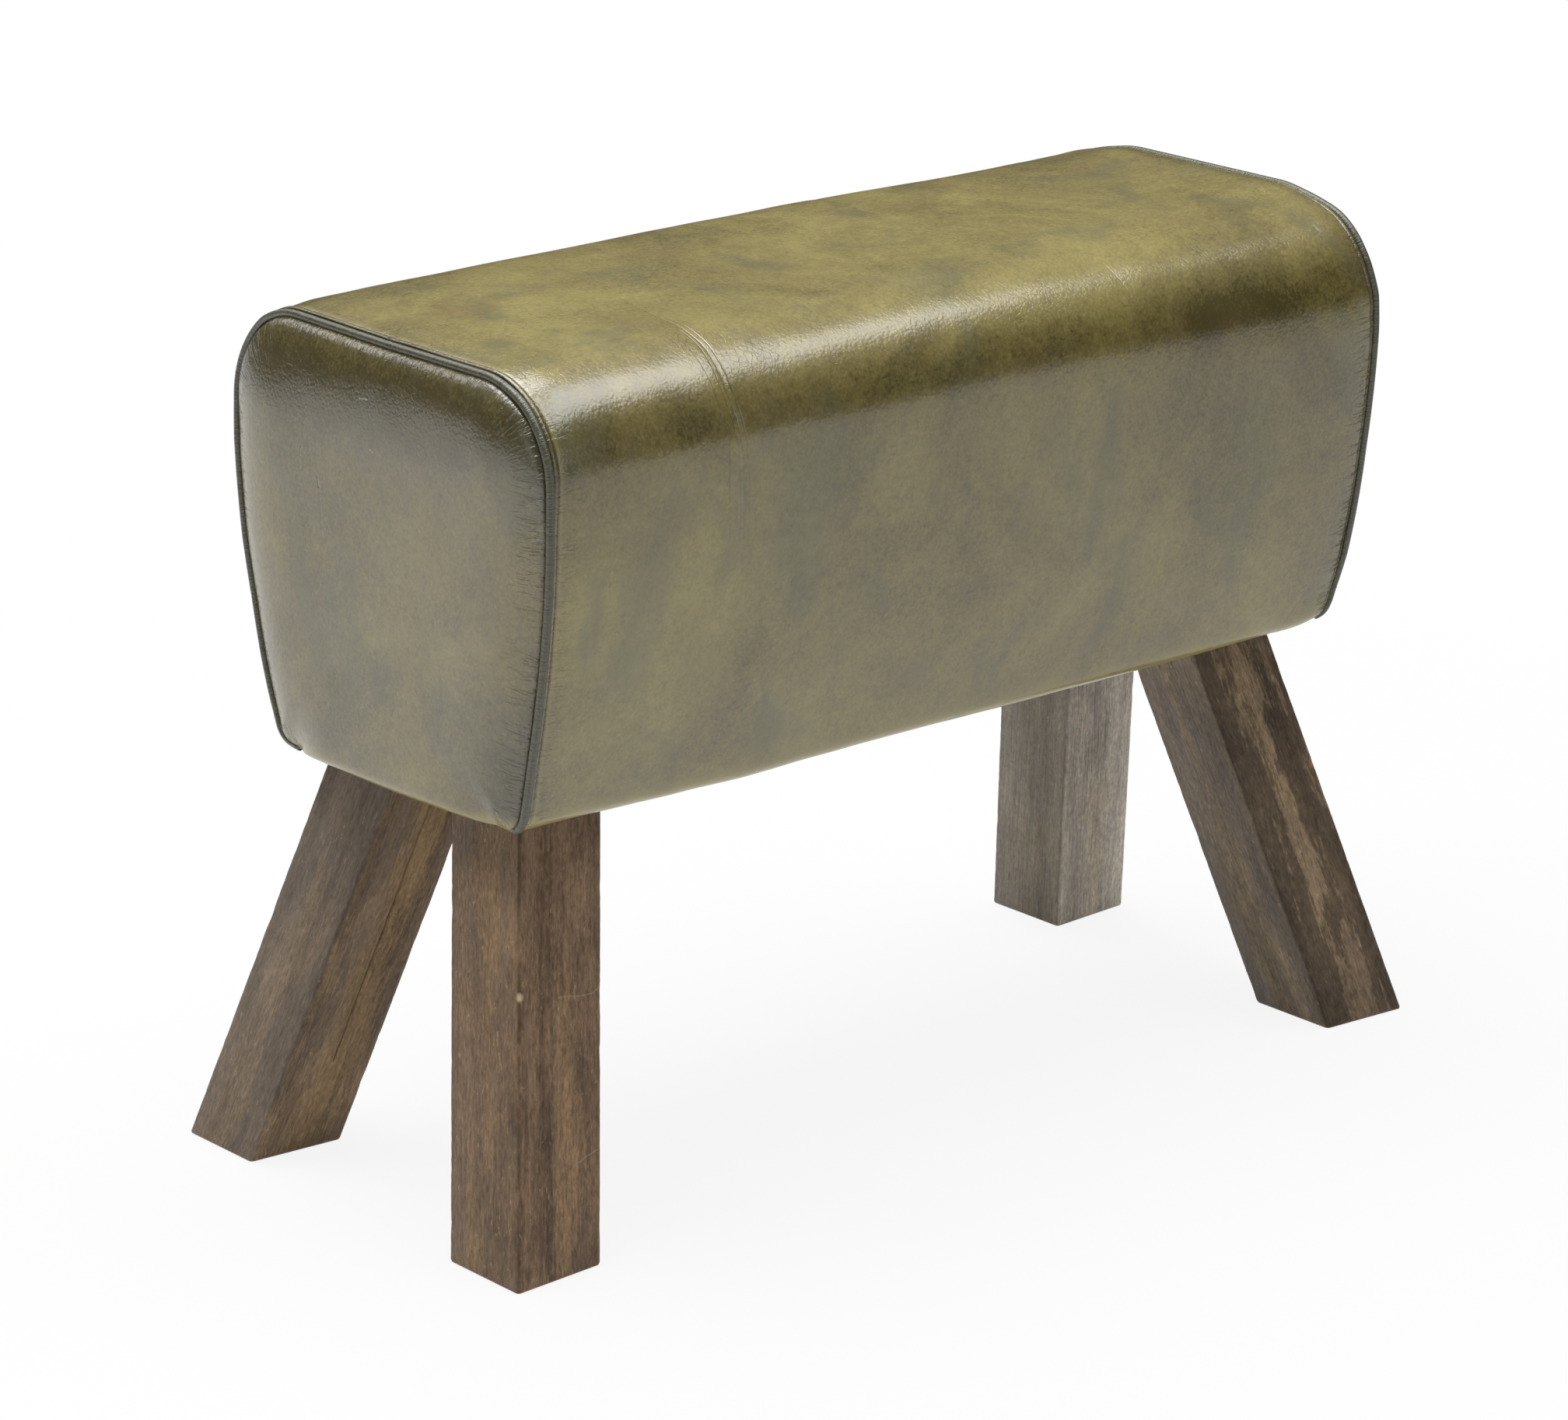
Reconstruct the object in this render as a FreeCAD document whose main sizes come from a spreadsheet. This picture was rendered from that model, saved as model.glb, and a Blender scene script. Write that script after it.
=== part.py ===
"""Leather-covered pommel horse bench on four splayed timber legs.

X runs along the body, Y across it and Z up. The origin lies on the floor, midway between the four
feet. The master of each pair is drawn on the +X or +Y side and its twin is a mirror image of it.
All lengths are in millimetres and all angles in degrees.
"""
import FreeCAD, Part
import math
import os
import Sketcher

Vector = FreeCAD.Vector

SIZES = [
    # Cover: the leather skin that everything else sits inside
    ("seat_height", 592.0),        # floor to the top of the cover
    ("underside_height", 285.0),   # floor to the underside of the cover
    ("cover_width", 335.0),        # widest part of the section, just under the top rounding
    ("seam_span", 730.0),          # from one piping centre to the other, along the body
    ("side_radius", 720.0),        # slow curve of the long sides
    ("top_radius", 66.0),          # rounding between a side and the top
    ("foot_radius", 14.0),         # rounding between a side and the underside
    ("leather", 2.0),              # thickness of the hide
    ("side_hem", 11.0),            # how far a side hem laps the base board
    ("end_hem", 26.0),             # how far the end panel's tongue reaches under the base
    ("hem_spacing", 1.0),          # between the tongue and a side hem
    ("soft_gap", 0.3),             # clearance between leather and foam
    ("panel_depth", 14.0),         # how far an end panel swells past its seam
    ("panel_chamfer", 8.0),        # slope round the rim of an end panel
    ("crown_radius", 2200.0),      # slow dome over the face of an end panel
    # Piping: a leather-covered cord sewn between the wrap and an end panel
    ("piping_radius", 2.5),
    ("piping_rise", 0.5),          # how far the cord's centre stands outside the cover
    ("piping_gap", 0.1),           # clearance between the piping and the leather beside it
    # Carcass: the plywood box
    ("top_padding", 74.7),         # foam over the top board
    ("shoulder_padding", 22.5),    # foam beside the top board
    ("foot_padding", 16.0),        # foam beside the base board
    ("end_padding", 25.0),         # foam over the middle of an end board
    ("base_board", 18.0),
    ("top_board", 15.0),
    ("side_board", 15.0),
    ("end_board", 18.0),
    ("bulkhead", 15.0),
    ("block_length", 80.0),        # leg block along the body
    ("block_height", 30.0),
    ("block_inset", 20.0),         # from the middle of the body to the leg block
    # Legs
    ("leg_size", 70.0),            # square timber
    ("leg_rounding", 3.0),
    ("leg_end_gap", 6.0),          # between a leg's top and the end panel's tongue
    ("leg_side_gap", 2.0),         # between a leg's top and the side hem
    ("splay_along", 13.6),
    ("splay_across", 15.7),
    # Leg fixings: a stub tenon in the base board and one coach screw down into each leg
    ("tenon", 36.0),               # square
    ("screw_radius", 5.0),
    ("screw_length", 90.0),
    ("screw_head_width", 17.0),
    ("screw_head_height", 6.5),
    ("plate_washer", 28.0),        # square
    ("plate_washer_thickness", 2.0),
    ("hole_gap", 0.1),             # clearance of a round hole round the screw
    # Underside
    ("dust_cover", 0.8),
    ("dust_cover_lap", 12.0),      # over the hems
    ("window_gap", 4.0),           # round a leg
]

# Places worked out from the sizes, as expressions of the sheet
UNDERSIDE = "Sizes.underside_height"
BOARD_UNDERSIDE = "(Sizes.underside_height + Sizes.leather)"
BASE_TOP = f"({BOARD_UNDERSIDE} + Sizes.base_board)"
BLOCK_TOP = f"({BASE_TOP} + Sizes.block_height)"
CARCASS_TOP = "(Sizes.seat_height - Sizes.leather - Sizes.soft_gap - Sizes.top_padding)"
TOP_BOARD_UNDERSIDE = f"({CARCASS_TOP} - Sizes.top_board)"
COVER_HALF = "(Sizes.cover_width / 2)"
SHOULDER = "(Sizes.seat_height - Sizes.top_radius)"


def inside_half(level):
    """Half the clear width inside the hide at a height on the side arc."""
    drop = f"({SHOULDER} - {level})"
    return (f"({COVER_HALF} - Sizes.leather - Sizes.side_radius"
            f" + sqrt(Sizes.side_radius * Sizes.side_radius - {drop} * {drop}))")


FOOT_HALF = f"({inside_half(f'({UNDERSIDE} + Sizes.foot_radius)')} - Sizes.foot_padding)"
TOP_HALF = f"({inside_half(CARCASS_TOP)} - Sizes.shoulder_padding)"
SLOPE = f"(({TOP_HALF} - {FOOT_HALF}) / ({TOP_BOARD_UNDERSIDE} - {BASE_TOP}))"
SIDE_BOARD_ACROSS = f"(Sizes.side_board * sqrt(1 + {SLOPE} * {SLOPE}))"
SEAM = "(Sizes.seam_span / 2)"
WRAP_END = f"({SEAM} - Sizes.piping_radius - Sizes.piping_gap)"
PANEL_BACK = f"({SEAM} + Sizes.piping_radius + Sizes.piping_gap)"
PANEL_FACE = f"({SEAM} + Sizes.panel_depth)"
CARCASS_END = f"({PANEL_FACE} - Sizes.leather - Sizes.end_padding)"
END_BOARD_INNER = f"({CARCASS_END} - Sizes.end_board)"
HEM_EDGE = f"({FOOT_HALF} - Sizes.side_hem)"
TONGUE_END = f"({PANEL_BACK} - Sizes.end_hem)"
FOAM_INSET = "(Sizes.leather + Sizes.soft_gap)"
NO_INSET = "0"
MIDDLE = "0"
LEG_HALF_ALONG = "(Sizes.leg_size / 2 / cos(Sizes.splay_along))"
LEG_HALF_ACROSS = ("(Sizes.leg_size / 2 * (1 / cos(Sizes.splay_across)"
                   " + tan(Sizes.splay_along) * tan(Sizes.splay_across)))")
LEG_TOP_X = f"({TONGUE_END} - Sizes.leg_end_gap - {LEG_HALF_ALONG})"
LEG_TOP_Y = f"({HEM_EDGE} - Sizes.leg_side_gap - {LEG_HALF_ACROSS})"
FOOT_X = f"({LEG_TOP_X} + tan(Sizes.splay_along) * {BOARD_UNDERSIDE})"
FOOT_Y = (f"({LEG_TOP_Y} + tan(Sizes.splay_across) / cos(Sizes.splay_along)"
          f" * {BOARD_UNDERSIDE})")
SCREW_SEAT = f"({BLOCK_TOP} + Sizes.plate_washer_thickness)"
SCREW_TIP = f"({SCREW_SEAT} - Sizes.screw_length)"
SCREW_HOLE = "(Sizes.screw_radius + Sizes.hole_gap)"
DUST_UNDERSIDE = f"({UNDERSIDE} - Sizes.dust_cover)"

doc = FreeCAD.newDocument("PommelHorse")
sheet = doc.addObject("Spreadsheet::Sheet", "Sizes")
nodes = []


def fill_sheet():
    for row, (name, value) in enumerate(SIZES, 1):
        sheet.set(f"A{row}", name)
        sheet.set(f"B{row}", str(value))
        sheet.setAlias(f"B{row}", name)
    doc.recompute()


def number(expression):
    """The present value of an expression of the sheet."""
    return float(sheet.evalExpression(expression))


def node(obj, label):
    """Give a finished sub-part its label and put it on the list of nodes."""
    obj.Label = label
    nodes.append(obj)
    return obj


def mirrored(source, label, normal):
    """A twin of source, mirrored through the origin's plane with this normal."""
    twin = doc.addObject("Part::Mirroring", label)
    twin.Source = source
    twin.Normal = normal
    return node(twin, label)


# ---- sketch helpers ----------------------------------------------------------------------------

def new_body(name):
    body = doc.addObject("PartDesign::Body", name)
    body.AllowCompound = True
    return body


def origin_plane(body, role):
    return next(feature for feature in body.Origin.OriginFeatures if feature.Role == role)


def new_sketch(body, name, role, offset=MIDDLE):
    """A sketch on one of the body's origin planes, moved along the plane's normal by offset."""
    sketch = body.newObject("Sketcher::SketchObject", name)
    sketch.AttachmentSupport = [(origin_plane(body, role), "")]
    sketch.MapMode = "FlatFace"
    sketch.setExpression(".AttachmentOffset.Base.z", offset)
    return sketch


def bind(sketch, kind, *where, to):
    """Add a dimension and tie it to an expression."""
    index = sketch.addConstraint(Sketcher.Constraint(kind, *where, number(to)))
    sketch.setExpression(f"Constraints[{index}]", to)


def pin(sketch, geometry, point, across, up):
    """Fix a point's two coordinates."""
    bind(sketch, "DistanceX", -1, 1, geometry, point, to=across)
    bind(sketch, "DistanceY", -1, 1, geometry, point, to=up)


def line(sketch, start, end):
    return sketch.addGeometry(Part.LineSegment(Vector(*start, 0), Vector(*end, 0)), False)


def polygon(sketch, corners):
    """A closed outline with straight sides; each corner is a pair of expressions."""
    points = [(number(across), number(up)) for across, up in corners]
    sides = [line(sketch, a, b) for a, b in zip(points, points[1:] + points[:1])]
    for side, after in zip(sides, sides[1:] + sides[:1]):
        sketch.addConstraint(Sketcher.Constraint("Coincident", side, 2, after, 1))
    for side, (across, up) in zip(sides, corners):
        pin(sketch, side, 1, across, up)


def rectangle(sketch, left, right, low, high):
    polygon(sketch, [(left, low), (right, low), (right, high), (left, high)])


def circle(sketch, across, up, radius):
    middle = Vector(number(across), number(up), 0)
    ring = sketch.addGeometry(Part.Circle(middle, Vector(0, 0, 1), number(radius)), False)
    pin(sketch, ring, 3, across, up)
    bind(sketch, "Radius", ring, to=radius)


def pad(body, sketch, length, name="Pad", midplane=False, reverse=False):
    feature = body.newObject("PartDesign::Pad", name)
    feature.Profile = sketch
    feature.setExpression("Length", length)
    feature.Midplane = midplane
    feature.Reversed = reverse
    return feature


def pocket(body, sketch, depth, name):
    """A cut that runs against the sketch plane's normal."""
    feature = body.newObject("PartDesign::Pocket", name)
    feature.Profile = sketch
    feature.setExpression("Length", depth)


def mirror_across(body, role, name="Mirrored"):
    """Complete a half body by mirroring all of it."""
    feature = body.newObject("PartDesign::Mirrored", name)
    feature.TransformMode = "Whole shape"
    feature.MirrorPlane = (origin_plane(body, role), [""])
    body.Tip = feature
    return feature


def combine(kind, name, base, tool):
    """A boolean of two objects: Cut, Fuse or Common."""
    feature = doc.addObject("Part::" + kind, name)
    feature.Base = base
    feature.Tool = tool
    return feature


# ---- the cover's section -----------------------------------------------------------------------
# The +Y half runs from the middle of the top over the shoulder arc, down the side arc, round the
# foot arc and inward along the underside. Inset moves all of it inward by one thickness.

def arc(sketch, centre, radius, start, end):
    whole = Part.Circle(Vector(*centre, 0), Vector(0, 0, 1), radius)
    return sketch.addGeometry(Part.ArcOfCircle(whole, start, end), False)


def join(sketch, first, first_point, second, second_point):
    """Close an outline with a straight side between two free ends."""
    start = sketch.getPoint(first, first_point)
    end = sketch.getPoint(second, second_point)
    side = line(sketch, (start.x, start.y), (end.x, end.y))
    sketch.addConstraint(Sketcher.Constraint("Coincident", side, 1, first, first_point))
    sketch.addConstraint(Sketcher.Constraint("Coincident", side, 2, second, second_point))


def section_top(sketch, inset):
    """Half of the top line, and the shoulder arc."""
    radius = number(f"Sizes.top_radius - {inset}")
    shoulder = number(SHOULDER)
    flat = number(f"{COVER_HALF} - Sizes.top_radius")
    top = line(sketch, (0, shoulder + radius), (flat, shoulder + radius))
    corner = arc(sketch, (flat, shoulder), radius, 0, math.pi / 2)
    sketch.addConstraint(Sketcher.Constraint("PointOnObject", top, 1, -2))
    sketch.addConstraint(Sketcher.Constraint("Horizontal", top))
    sketch.addConstraint(Sketcher.Constraint("Tangent", top, 2, corner, 2))
    bind(sketch, "DistanceY", -1, 1, top, 1, to=f"Sizes.seat_height - {inset}")
    bind(sketch, "Radius", corner, to=f"Sizes.top_radius - {inset}")
    pin(sketch, corner, 1, f"{COVER_HALF} - {inset}", SHOULDER)
    return top, corner


def side_arc(sketch, inset, low):
    """The side arc from the shoulder's level down to the height low, held by its centre."""
    radius = number(f"Sizes.side_radius - {inset}")
    centre = (number(f"{COVER_HALF} - Sizes.side_radius"), number(SHOULDER))
    side = arc(sketch, centre, radius, math.asin((low - centre[1]) / radius), 0)
    bind(sketch, "Radius", side, to=f"Sizes.side_radius - {inset}")
    return side


def section_foot(sketch, inset, side, inner_edge):
    """The foot arc below a side arc, and the underside line in to inner_edge."""
    centre = (foot_centre(), number(f"{UNDERSIDE} + Sizes.foot_radius"))
    radius = number(f"Sizes.foot_radius - {inset}")
    foot = arc(sketch, centre, radius, -math.pi / 2, -foot_angle())
    under = line(sketch, (centre[0], centre[1] - radius), (number(inner_edge), centre[1] - radius))
    sketch.addConstraint(Sketcher.Constraint("Tangent", side, 1, foot, 2))
    sketch.addConstraint(Sketcher.Constraint("Tangent", foot, 1, under, 1))
    sketch.addConstraint(Sketcher.Constraint("Horizontal", under))
    bind(sketch, "Radius", foot, to=f"Sizes.foot_radius - {inset}")
    pin(sketch, under, 2, inner_edge, f"{UNDERSIDE} + {inset}")
    return under


def foot_angle():
    """How far round the side arc the foot arc begins."""
    drop = number(f"{SHOULDER} - {UNDERSIDE} - Sizes.foot_radius")
    return math.asin(drop / number("Sizes.side_radius - Sizes.foot_radius"))


def foot_centre():
    """Distance of the foot arc's centre from the middle plane."""
    reach = number("Sizes.side_radius - Sizes.foot_radius")
    return number(f"{COVER_HALF} - Sizes.side_radius") + reach * math.cos(foot_angle())


def section(sketch, inset, inner_edge):
    """The whole half section as an open chain; returns its first and last line."""
    top, corner = section_top(sketch, inset)
    low = number(SHOULDER) - number(f"Sizes.side_radius - {inset}") * math.sin(foot_angle())
    side = side_arc(sketch, inset, low)
    sketch.addConstraint(Sketcher.Constraint("Tangent", corner, 1, side, 2))
    return top, section_foot(sketch, inset, side, inner_edge)


def filled_section(sketch, inset):
    """The half section closed along the middle plane."""
    top, under = section(sketch, inset, MIDDLE)
    join(sketch, under, 2, top, 1)


def pillow(name, back, inset):
    """A crowned end pad: the section padded out, its rim sloped and its face domed."""
    body = new_body(name)
    sketch = new_sketch(body, name + "Outline", "YZ_Plane", back)
    filled_section(sketch, inset)
    pad(body, sketch, f"{PANEL_FACE} - {inset} - {back}")
    doc.recompute()
    whole = mirror_across(body, "XZ_Plane")
    doc.recompute()
    face = whole.Shape.BoundBox.XMax
    rim = [f"Edge{index}" for index, edge in enumerate(whole.Shape.Edges, 1)
           if edge.BoundBox.XMin > face - number("Sizes.soft_gap")]
    slope = body.newObject("PartDesign::Chamfer", name + "Rim")
    slope.Base = (whole, rim)
    slope.setExpression("Size", f"Sizes.panel_chamfer - {inset} * (2 - sqrt(2))")
    body.Tip = slope
    dome = doc.addObject("Part::Sphere", name + "Dome")
    dome.setExpression("Radius", f"Sizes.crown_radius - {inset}")
    dome.setExpression("Placement.Base.x", f"{PANEL_FACE} - Sizes.crown_radius")
    dome.setExpression("Placement.Base.z", f"(Sizes.seat_height + {UNDERSIDE}) / 2")
    return combine("Common", name + "Pad", body, dome)


# ---- leather -----------------------------------------------------------------------------------

def make_wrap():
    """One hide over the top and both sides, its hems turned in under the base."""
    body = new_body("Wrap")
    sketch = new_sketch(body, "WrapSection", "YZ_Plane")
    outer_top, outer_hem = section(sketch, NO_INSET, HEM_EDGE)
    inner_top, inner_hem = section(sketch, "Sizes.leather", HEM_EDGE)
    join(sketch, outer_top, 1, inner_top, 1)
    join(sketch, outer_hem, 2, inner_hem, 2)
    pad(body, sketch, f"2 * {WRAP_END}", midplane=True)
    doc.recompute()
    mirror_across(body, "XZ_Plane")
    node(body, "leather_wrap")


def make_end_panel():
    """A crowned panel over the end, with a tongue tucked under the base between the side hems."""
    outside = pillow("PanelOutside", PANEL_BACK, NO_INSET)
    inside = pillow("PanelInside", PANEL_BACK, "Sizes.leather")
    hide = combine("Cut", "PanelHide", outside, inside)
    tongue = new_body("Tongue")
    sketch = new_sketch(tongue, "TongueOutline", "XY_Plane", UNDERSIDE)
    edge = f"({HEM_EDGE} - Sizes.hem_spacing)"
    rectangle(sketch, TONGUE_END, PANEL_BACK, f"-{edge}", edge)
    pad(tongue, sketch, "Sizes.leather")
    panel = node(combine("Fuse", "Panel", hide, tongue), "end_panel_right")
    mirrored(panel, "end_panel_left", Vector(1, 0, 0))


def make_piping():
    """The covered cord, drawn as an octagon over the top seam and swept down round the end."""
    body = new_body("Piping")
    path = new_sketch(body, "PipingPath", "YZ_Plane", SEAM)
    section(path, "(0 - Sizes.piping_rise)", f"{HEM_EDGE} + Sizes.hem_spacing")
    octagon = new_sketch(body, "PipingSection", "XZ_Plane")
    polygon(octagon, [(f"{SEAM} + Sizes.piping_radius * cos({turn})",
                       f"Sizes.seat_height + Sizes.piping_rise + Sizes.piping_radius * sin({turn})")
                      for turn in range(0, 360, 45)])
    sweep = body.newObject("PartDesign::AdditivePipe", "PipingSweep")
    sweep.Profile = octagon
    sweep.Spine = path
    doc.recompute()
    mirror_across(body, "XZ_Plane")
    node(body, "piping_right")
    mirrored(body, "piping_left", Vector(1, 0, 0))


# ---- foam --------------------------------------------------------------------------------------

def make_top_foam():
    """Thick pad on the top board, with the cover's rounded shoulders."""
    body = new_body("TopFoam")
    sketch = new_sketch(body, "TopFoamSection", "YZ_Plane")
    top, corner = section_top(sketch, FOAM_INSET)
    side = side_arc(sketch, FOAM_INSET, number(CARCASS_TOP))
    sketch.addConstraint(Sketcher.Constraint("Tangent", corner, 1, side, 2))
    base = line(sketch, (number(FOOT_HALF), number(CARCASS_TOP)), (0, number(CARCASS_TOP)))
    sketch.addConstraint(Sketcher.Constraint("Coincident", base, 1, side, 1))
    sketch.addConstraint(Sketcher.Constraint("Horizontal", base))
    pin(sketch, base, 2, MIDDLE, CARCASS_TOP)
    join(sketch, base, 2, top, 1)
    pad(body, sketch, f"2 * {CARCASS_END}", midplane=True)
    mirror_across(body, "XZ_Plane")
    node(body, "top_foam")


def make_side_foam():
    """Lens-shaped pad between the sloping side of the box and the curved leather."""
    body = new_body("SideFoam")
    sketch = new_sketch(body, "SideFoamSection", "YZ_Plane")
    low = number(SHOULDER) - number(f"Sizes.side_radius - {FOAM_INSET}") * math.sin(foot_angle())
    side = side_arc(sketch, FOAM_INSET, low)
    pin(sketch, side, 3, f"{COVER_HALF} - Sizes.side_radius", SHOULDER)
    bind(sketch, "DistanceY", -1, 1, side, 2, to=CARCASS_TOP)
    under = section_foot(sketch, FOAM_INSET, side, FOOT_HALF)
    corners = [
        (FOOT_HALF, f"{UNDERSIDE} + {FOAM_INSET}"),
        (FOOT_HALF, BASE_TOP),
        (TOP_HALF, TOP_BOARD_UNDERSIDE),
        (TOP_HALF, CARCASS_TOP),
    ]
    points = [(number(across), number(up)) for across, up in corners]
    walls = [line(sketch, a, b) for a, b in zip(points, points[1:])]
    sketch.addConstraint(Sketcher.Constraint("Coincident", under, 2, walls[0], 1))
    for wall, after, corner in zip(walls, walls[1:], corners[1:]):
        sketch.addConstraint(Sketcher.Constraint("Coincident", wall, 2, after, 1))
        pin(sketch, wall, 2, *corner)
    pin(sketch, walls[-1], 2, *corners[-1])
    join(sketch, walls[-1], 2, side, 2)
    pad(body, sketch, f"2 * {CARCASS_END}", midplane=True)
    node(body, "side_foam_back")
    mirrored(body, "side_foam_front", Vector(0, 1, 0))


def make_end_foam():
    """Pad over the end of the box, crowned like the panel."""
    node(pillow("EndFoam", CARCASS_END, FOAM_INSET), "end_foam_right")
    mirrored(nodes[-1], "end_foam_left", Vector(1, 0, 0))


# ---- carcass -----------------------------------------------------------------------------------

def make_base_board():
    """Board that carries everything, with a mortise for each leg's tenon."""
    body = new_body("BaseBoard")
    sketch = new_sketch(body, "BaseOutline", "XY_Plane", BOARD_UNDERSIDE)
    rectangle(sketch, f"-{CARCASS_END}", CARCASS_END, f"-{FOOT_HALF}", FOOT_HALF)
    pad(body, sketch, "Sizes.base_board")
    doc.recompute()
    half = "Sizes.tenon / 2"
    open_over_legs(body, "Mortises", BASE_TOP, half, half, "Sizes.base_board")
    node(body, "base_board")


def open_over_legs(body, name, plane, half_along, half_across, depth):
    """A rectangular opening over each of the four leg tops."""
    sketch = new_sketch(body, name + "Outline", "XY_Plane", plane)
    for x in (f"-{LEG_TOP_X}", LEG_TOP_X):
        for y in (f"-{LEG_TOP_Y}", LEG_TOP_Y):
            rectangle(sketch, f"{x} - {half_along}", f"{x} + {half_along}",
                      f"{y} - {half_across}", f"{y} + {half_across}")
    pocket(body, sketch, depth, name)


def make_top_board():
    body = new_body("TopBoard")
    sketch = new_sketch(body, "TopOutline", "XY_Plane", TOP_BOARD_UNDERSIDE)
    rectangle(sketch, f"-{CARCASS_END}", CARCASS_END, f"-{TOP_HALF}", TOP_HALF)
    pad(body, sketch, "Sizes.top_board")
    node(body, "top_board")


def make_side_board():
    """Board along a long side, leaning outward from the base to the top board."""
    body = new_body("SideBoard")
    sketch = new_sketch(body, "SideBoardSection", "YZ_Plane")
    polygon(sketch, [
        (f"{FOOT_HALF} - {SIDE_BOARD_ACROSS}", BASE_TOP),
        (FOOT_HALF, BASE_TOP),
        (TOP_HALF, TOP_BOARD_UNDERSIDE),
        (f"{TOP_HALF} - {SIDE_BOARD_ACROSS}", TOP_BOARD_UNDERSIDE),
    ])
    pad(body, sketch, f"2 * {END_BOARD_INNER}", midplane=True)
    node(body, "side_board_back")
    mirrored(body, "side_board_front", Vector(0, 1, 0))


def cross_board(name, plane, foot, top, thickness, midplane=False):
    """An upright board across the box, wider at the top like the body."""
    body = new_body(name)
    sketch = new_sketch(body, name + "Outline", "YZ_Plane", plane)
    polygon(sketch, [
        (f"-{foot}", BASE_TOP),
        (foot, BASE_TOP),
        (top, TOP_BOARD_UNDERSIDE),
        (f"-{top}", TOP_BOARD_UNDERSIDE),
    ])
    pad(body, sketch, thickness, midplane=midplane)
    return body


def make_end_board():
    board = cross_board("EndBoard", END_BOARD_INNER, FOOT_HALF, TOP_HALF, "Sizes.end_board")
    node(board, "end_board_right")
    mirrored(board, "end_board_left", Vector(1, 0, 0))


def make_bulkhead():
    foot = f"({FOOT_HALF} - {SIDE_BOARD_ACROSS})"
    top = f"({TOP_HALF} - {SIDE_BOARD_ACROSS})"
    board = cross_board("Bulkhead", MIDDLE, foot, top, "Sizes.bulkhead", midplane=True)
    node(board, "centre_bulkhead")


def four_corners(master, stem):
    """Label the back right piece and mirror it to the other three corners."""
    node(master, f"{stem}_back_right")
    mirrored(master, f"{stem}_back_left", Vector(1, 0, 0))
    front = mirrored(master, f"{stem}_front_right", Vector(0, 1, 0))
    mirrored(front, f"{stem}_front_left", Vector(1, 0, 0))


def make_leg_blocks():
    """A block over each leg, in the corner of the box, that the coach screw pulls against."""
    body = new_body("LegBlock")
    sketch = new_sketch(body, "BlockOutline", "XY_Plane", BASE_TOP)
    rectangle(sketch, f"{END_BOARD_INNER} - Sizes.block_length", END_BOARD_INNER,
              "Sizes.block_inset", f"{FOOT_HALF} - {SIDE_BOARD_ACROSS}")
    pad(body, sketch, "Sizes.block_height")
    doc.recompute()
    hole = new_sketch(body, "ScrewHole", "XY_Plane", BLOCK_TOP)
    circle(hole, LEG_TOP_X, LEG_TOP_Y, SCREW_HOLE)
    pocket(body, hole, "Sizes.block_height", "ScrewHoleCut")
    four_corners(body, "leg_block")


# ---- legs and fixings --------------------------------------------------------------------------

def make_legs():
    """Square timber tilted outward both ways, trimmed level at the floor and under the base.

    A stub tenon stands on the upper cut, and the coach screw's pilot hole runs down through both.
    """
    timber = new_body("LegTimber")
    sketch = new_sketch(timber, "LegSection", "XY_Plane", "-Sizes.leg_size")
    half = "Sizes.leg_size / 2"
    rectangle(sketch, f"-{half}", half, f"-{half}", half)
    lean = "(cos(Sizes.splay_along) * cos(Sizes.splay_across))"
    baulk = pad(timber, sketch, f"{BOARD_UNDERSIDE} / {lean} + 2 * Sizes.leg_size")
    doc.recompute()
    edges = [f"Edge{index}" for index, edge in enumerate(baulk.Shape.Edges, 1)
             if edge.BoundBox.ZLength > number("Sizes.leg_size")]
    rounding = timber.newObject("PartDesign::Fillet", "LongEdges")
    rounding.Base = (baulk, edges)
    rounding.setExpression("Radius", "Sizes.leg_rounding")
    timber.setExpression("Placement", f"placement(vector({FOOT_X}; {FOOT_Y}; 0);"
                         " rotation(0; -Sizes.splay_along; Sizes.splay_across))")
    level = doc.addObject("Part::Box", "LegLevels")
    level.setExpression("Length", f"{FOOT_X} + Sizes.leg_size")
    level.setExpression("Width", f"{FOOT_Y} + Sizes.leg_size")
    level.setExpression("Height", BOARD_UNDERSIDE)
    tenon = doc.addObject("Part::Box", "Tenon")
    tenon.setExpression("Length", "Sizes.tenon")
    tenon.setExpression("Width", "Sizes.tenon")
    tenon.setExpression("Height", "Sizes.base_board")
    tenon.setExpression("Placement.Base.x", f"{LEG_TOP_X} - Sizes.tenon / 2")
    tenon.setExpression("Placement.Base.y", f"{LEG_TOP_Y} - Sizes.tenon / 2")
    tenon.setExpression("Placement.Base.z", BOARD_UNDERSIDE)
    pilot = doc.addObject("Part::Cylinder", "PilotHole")
    pilot.setExpression("Radius", SCREW_HOLE)
    pilot.setExpression("Height", f"{BASE_TOP} - {SCREW_TIP}")
    pilot.setExpression("Placement.Base.x", LEG_TOP_X)
    pilot.setExpression("Placement.Base.y", LEG_TOP_Y)
    pilot.setExpression("Placement.Base.z", SCREW_TIP)
    trimmed = combine("Common", "TrimmedLeg", timber, level)
    tenoned = combine("Fuse", "TenonedLeg", trimmed, tenon)
    four_corners(combine("Cut", "Leg", tenoned, pilot), "leg")


def repeat_over_legs(body, label):
    """Mirror the fixings of the back right leg to all four and make them one node."""
    doc.recompute()
    mirror_across(body, "XZ_Plane", "FrontLegs")
    doc.recompute()
    mirror_across(body, "YZ_Plane", "LeftLegs")
    node(body, label)


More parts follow.
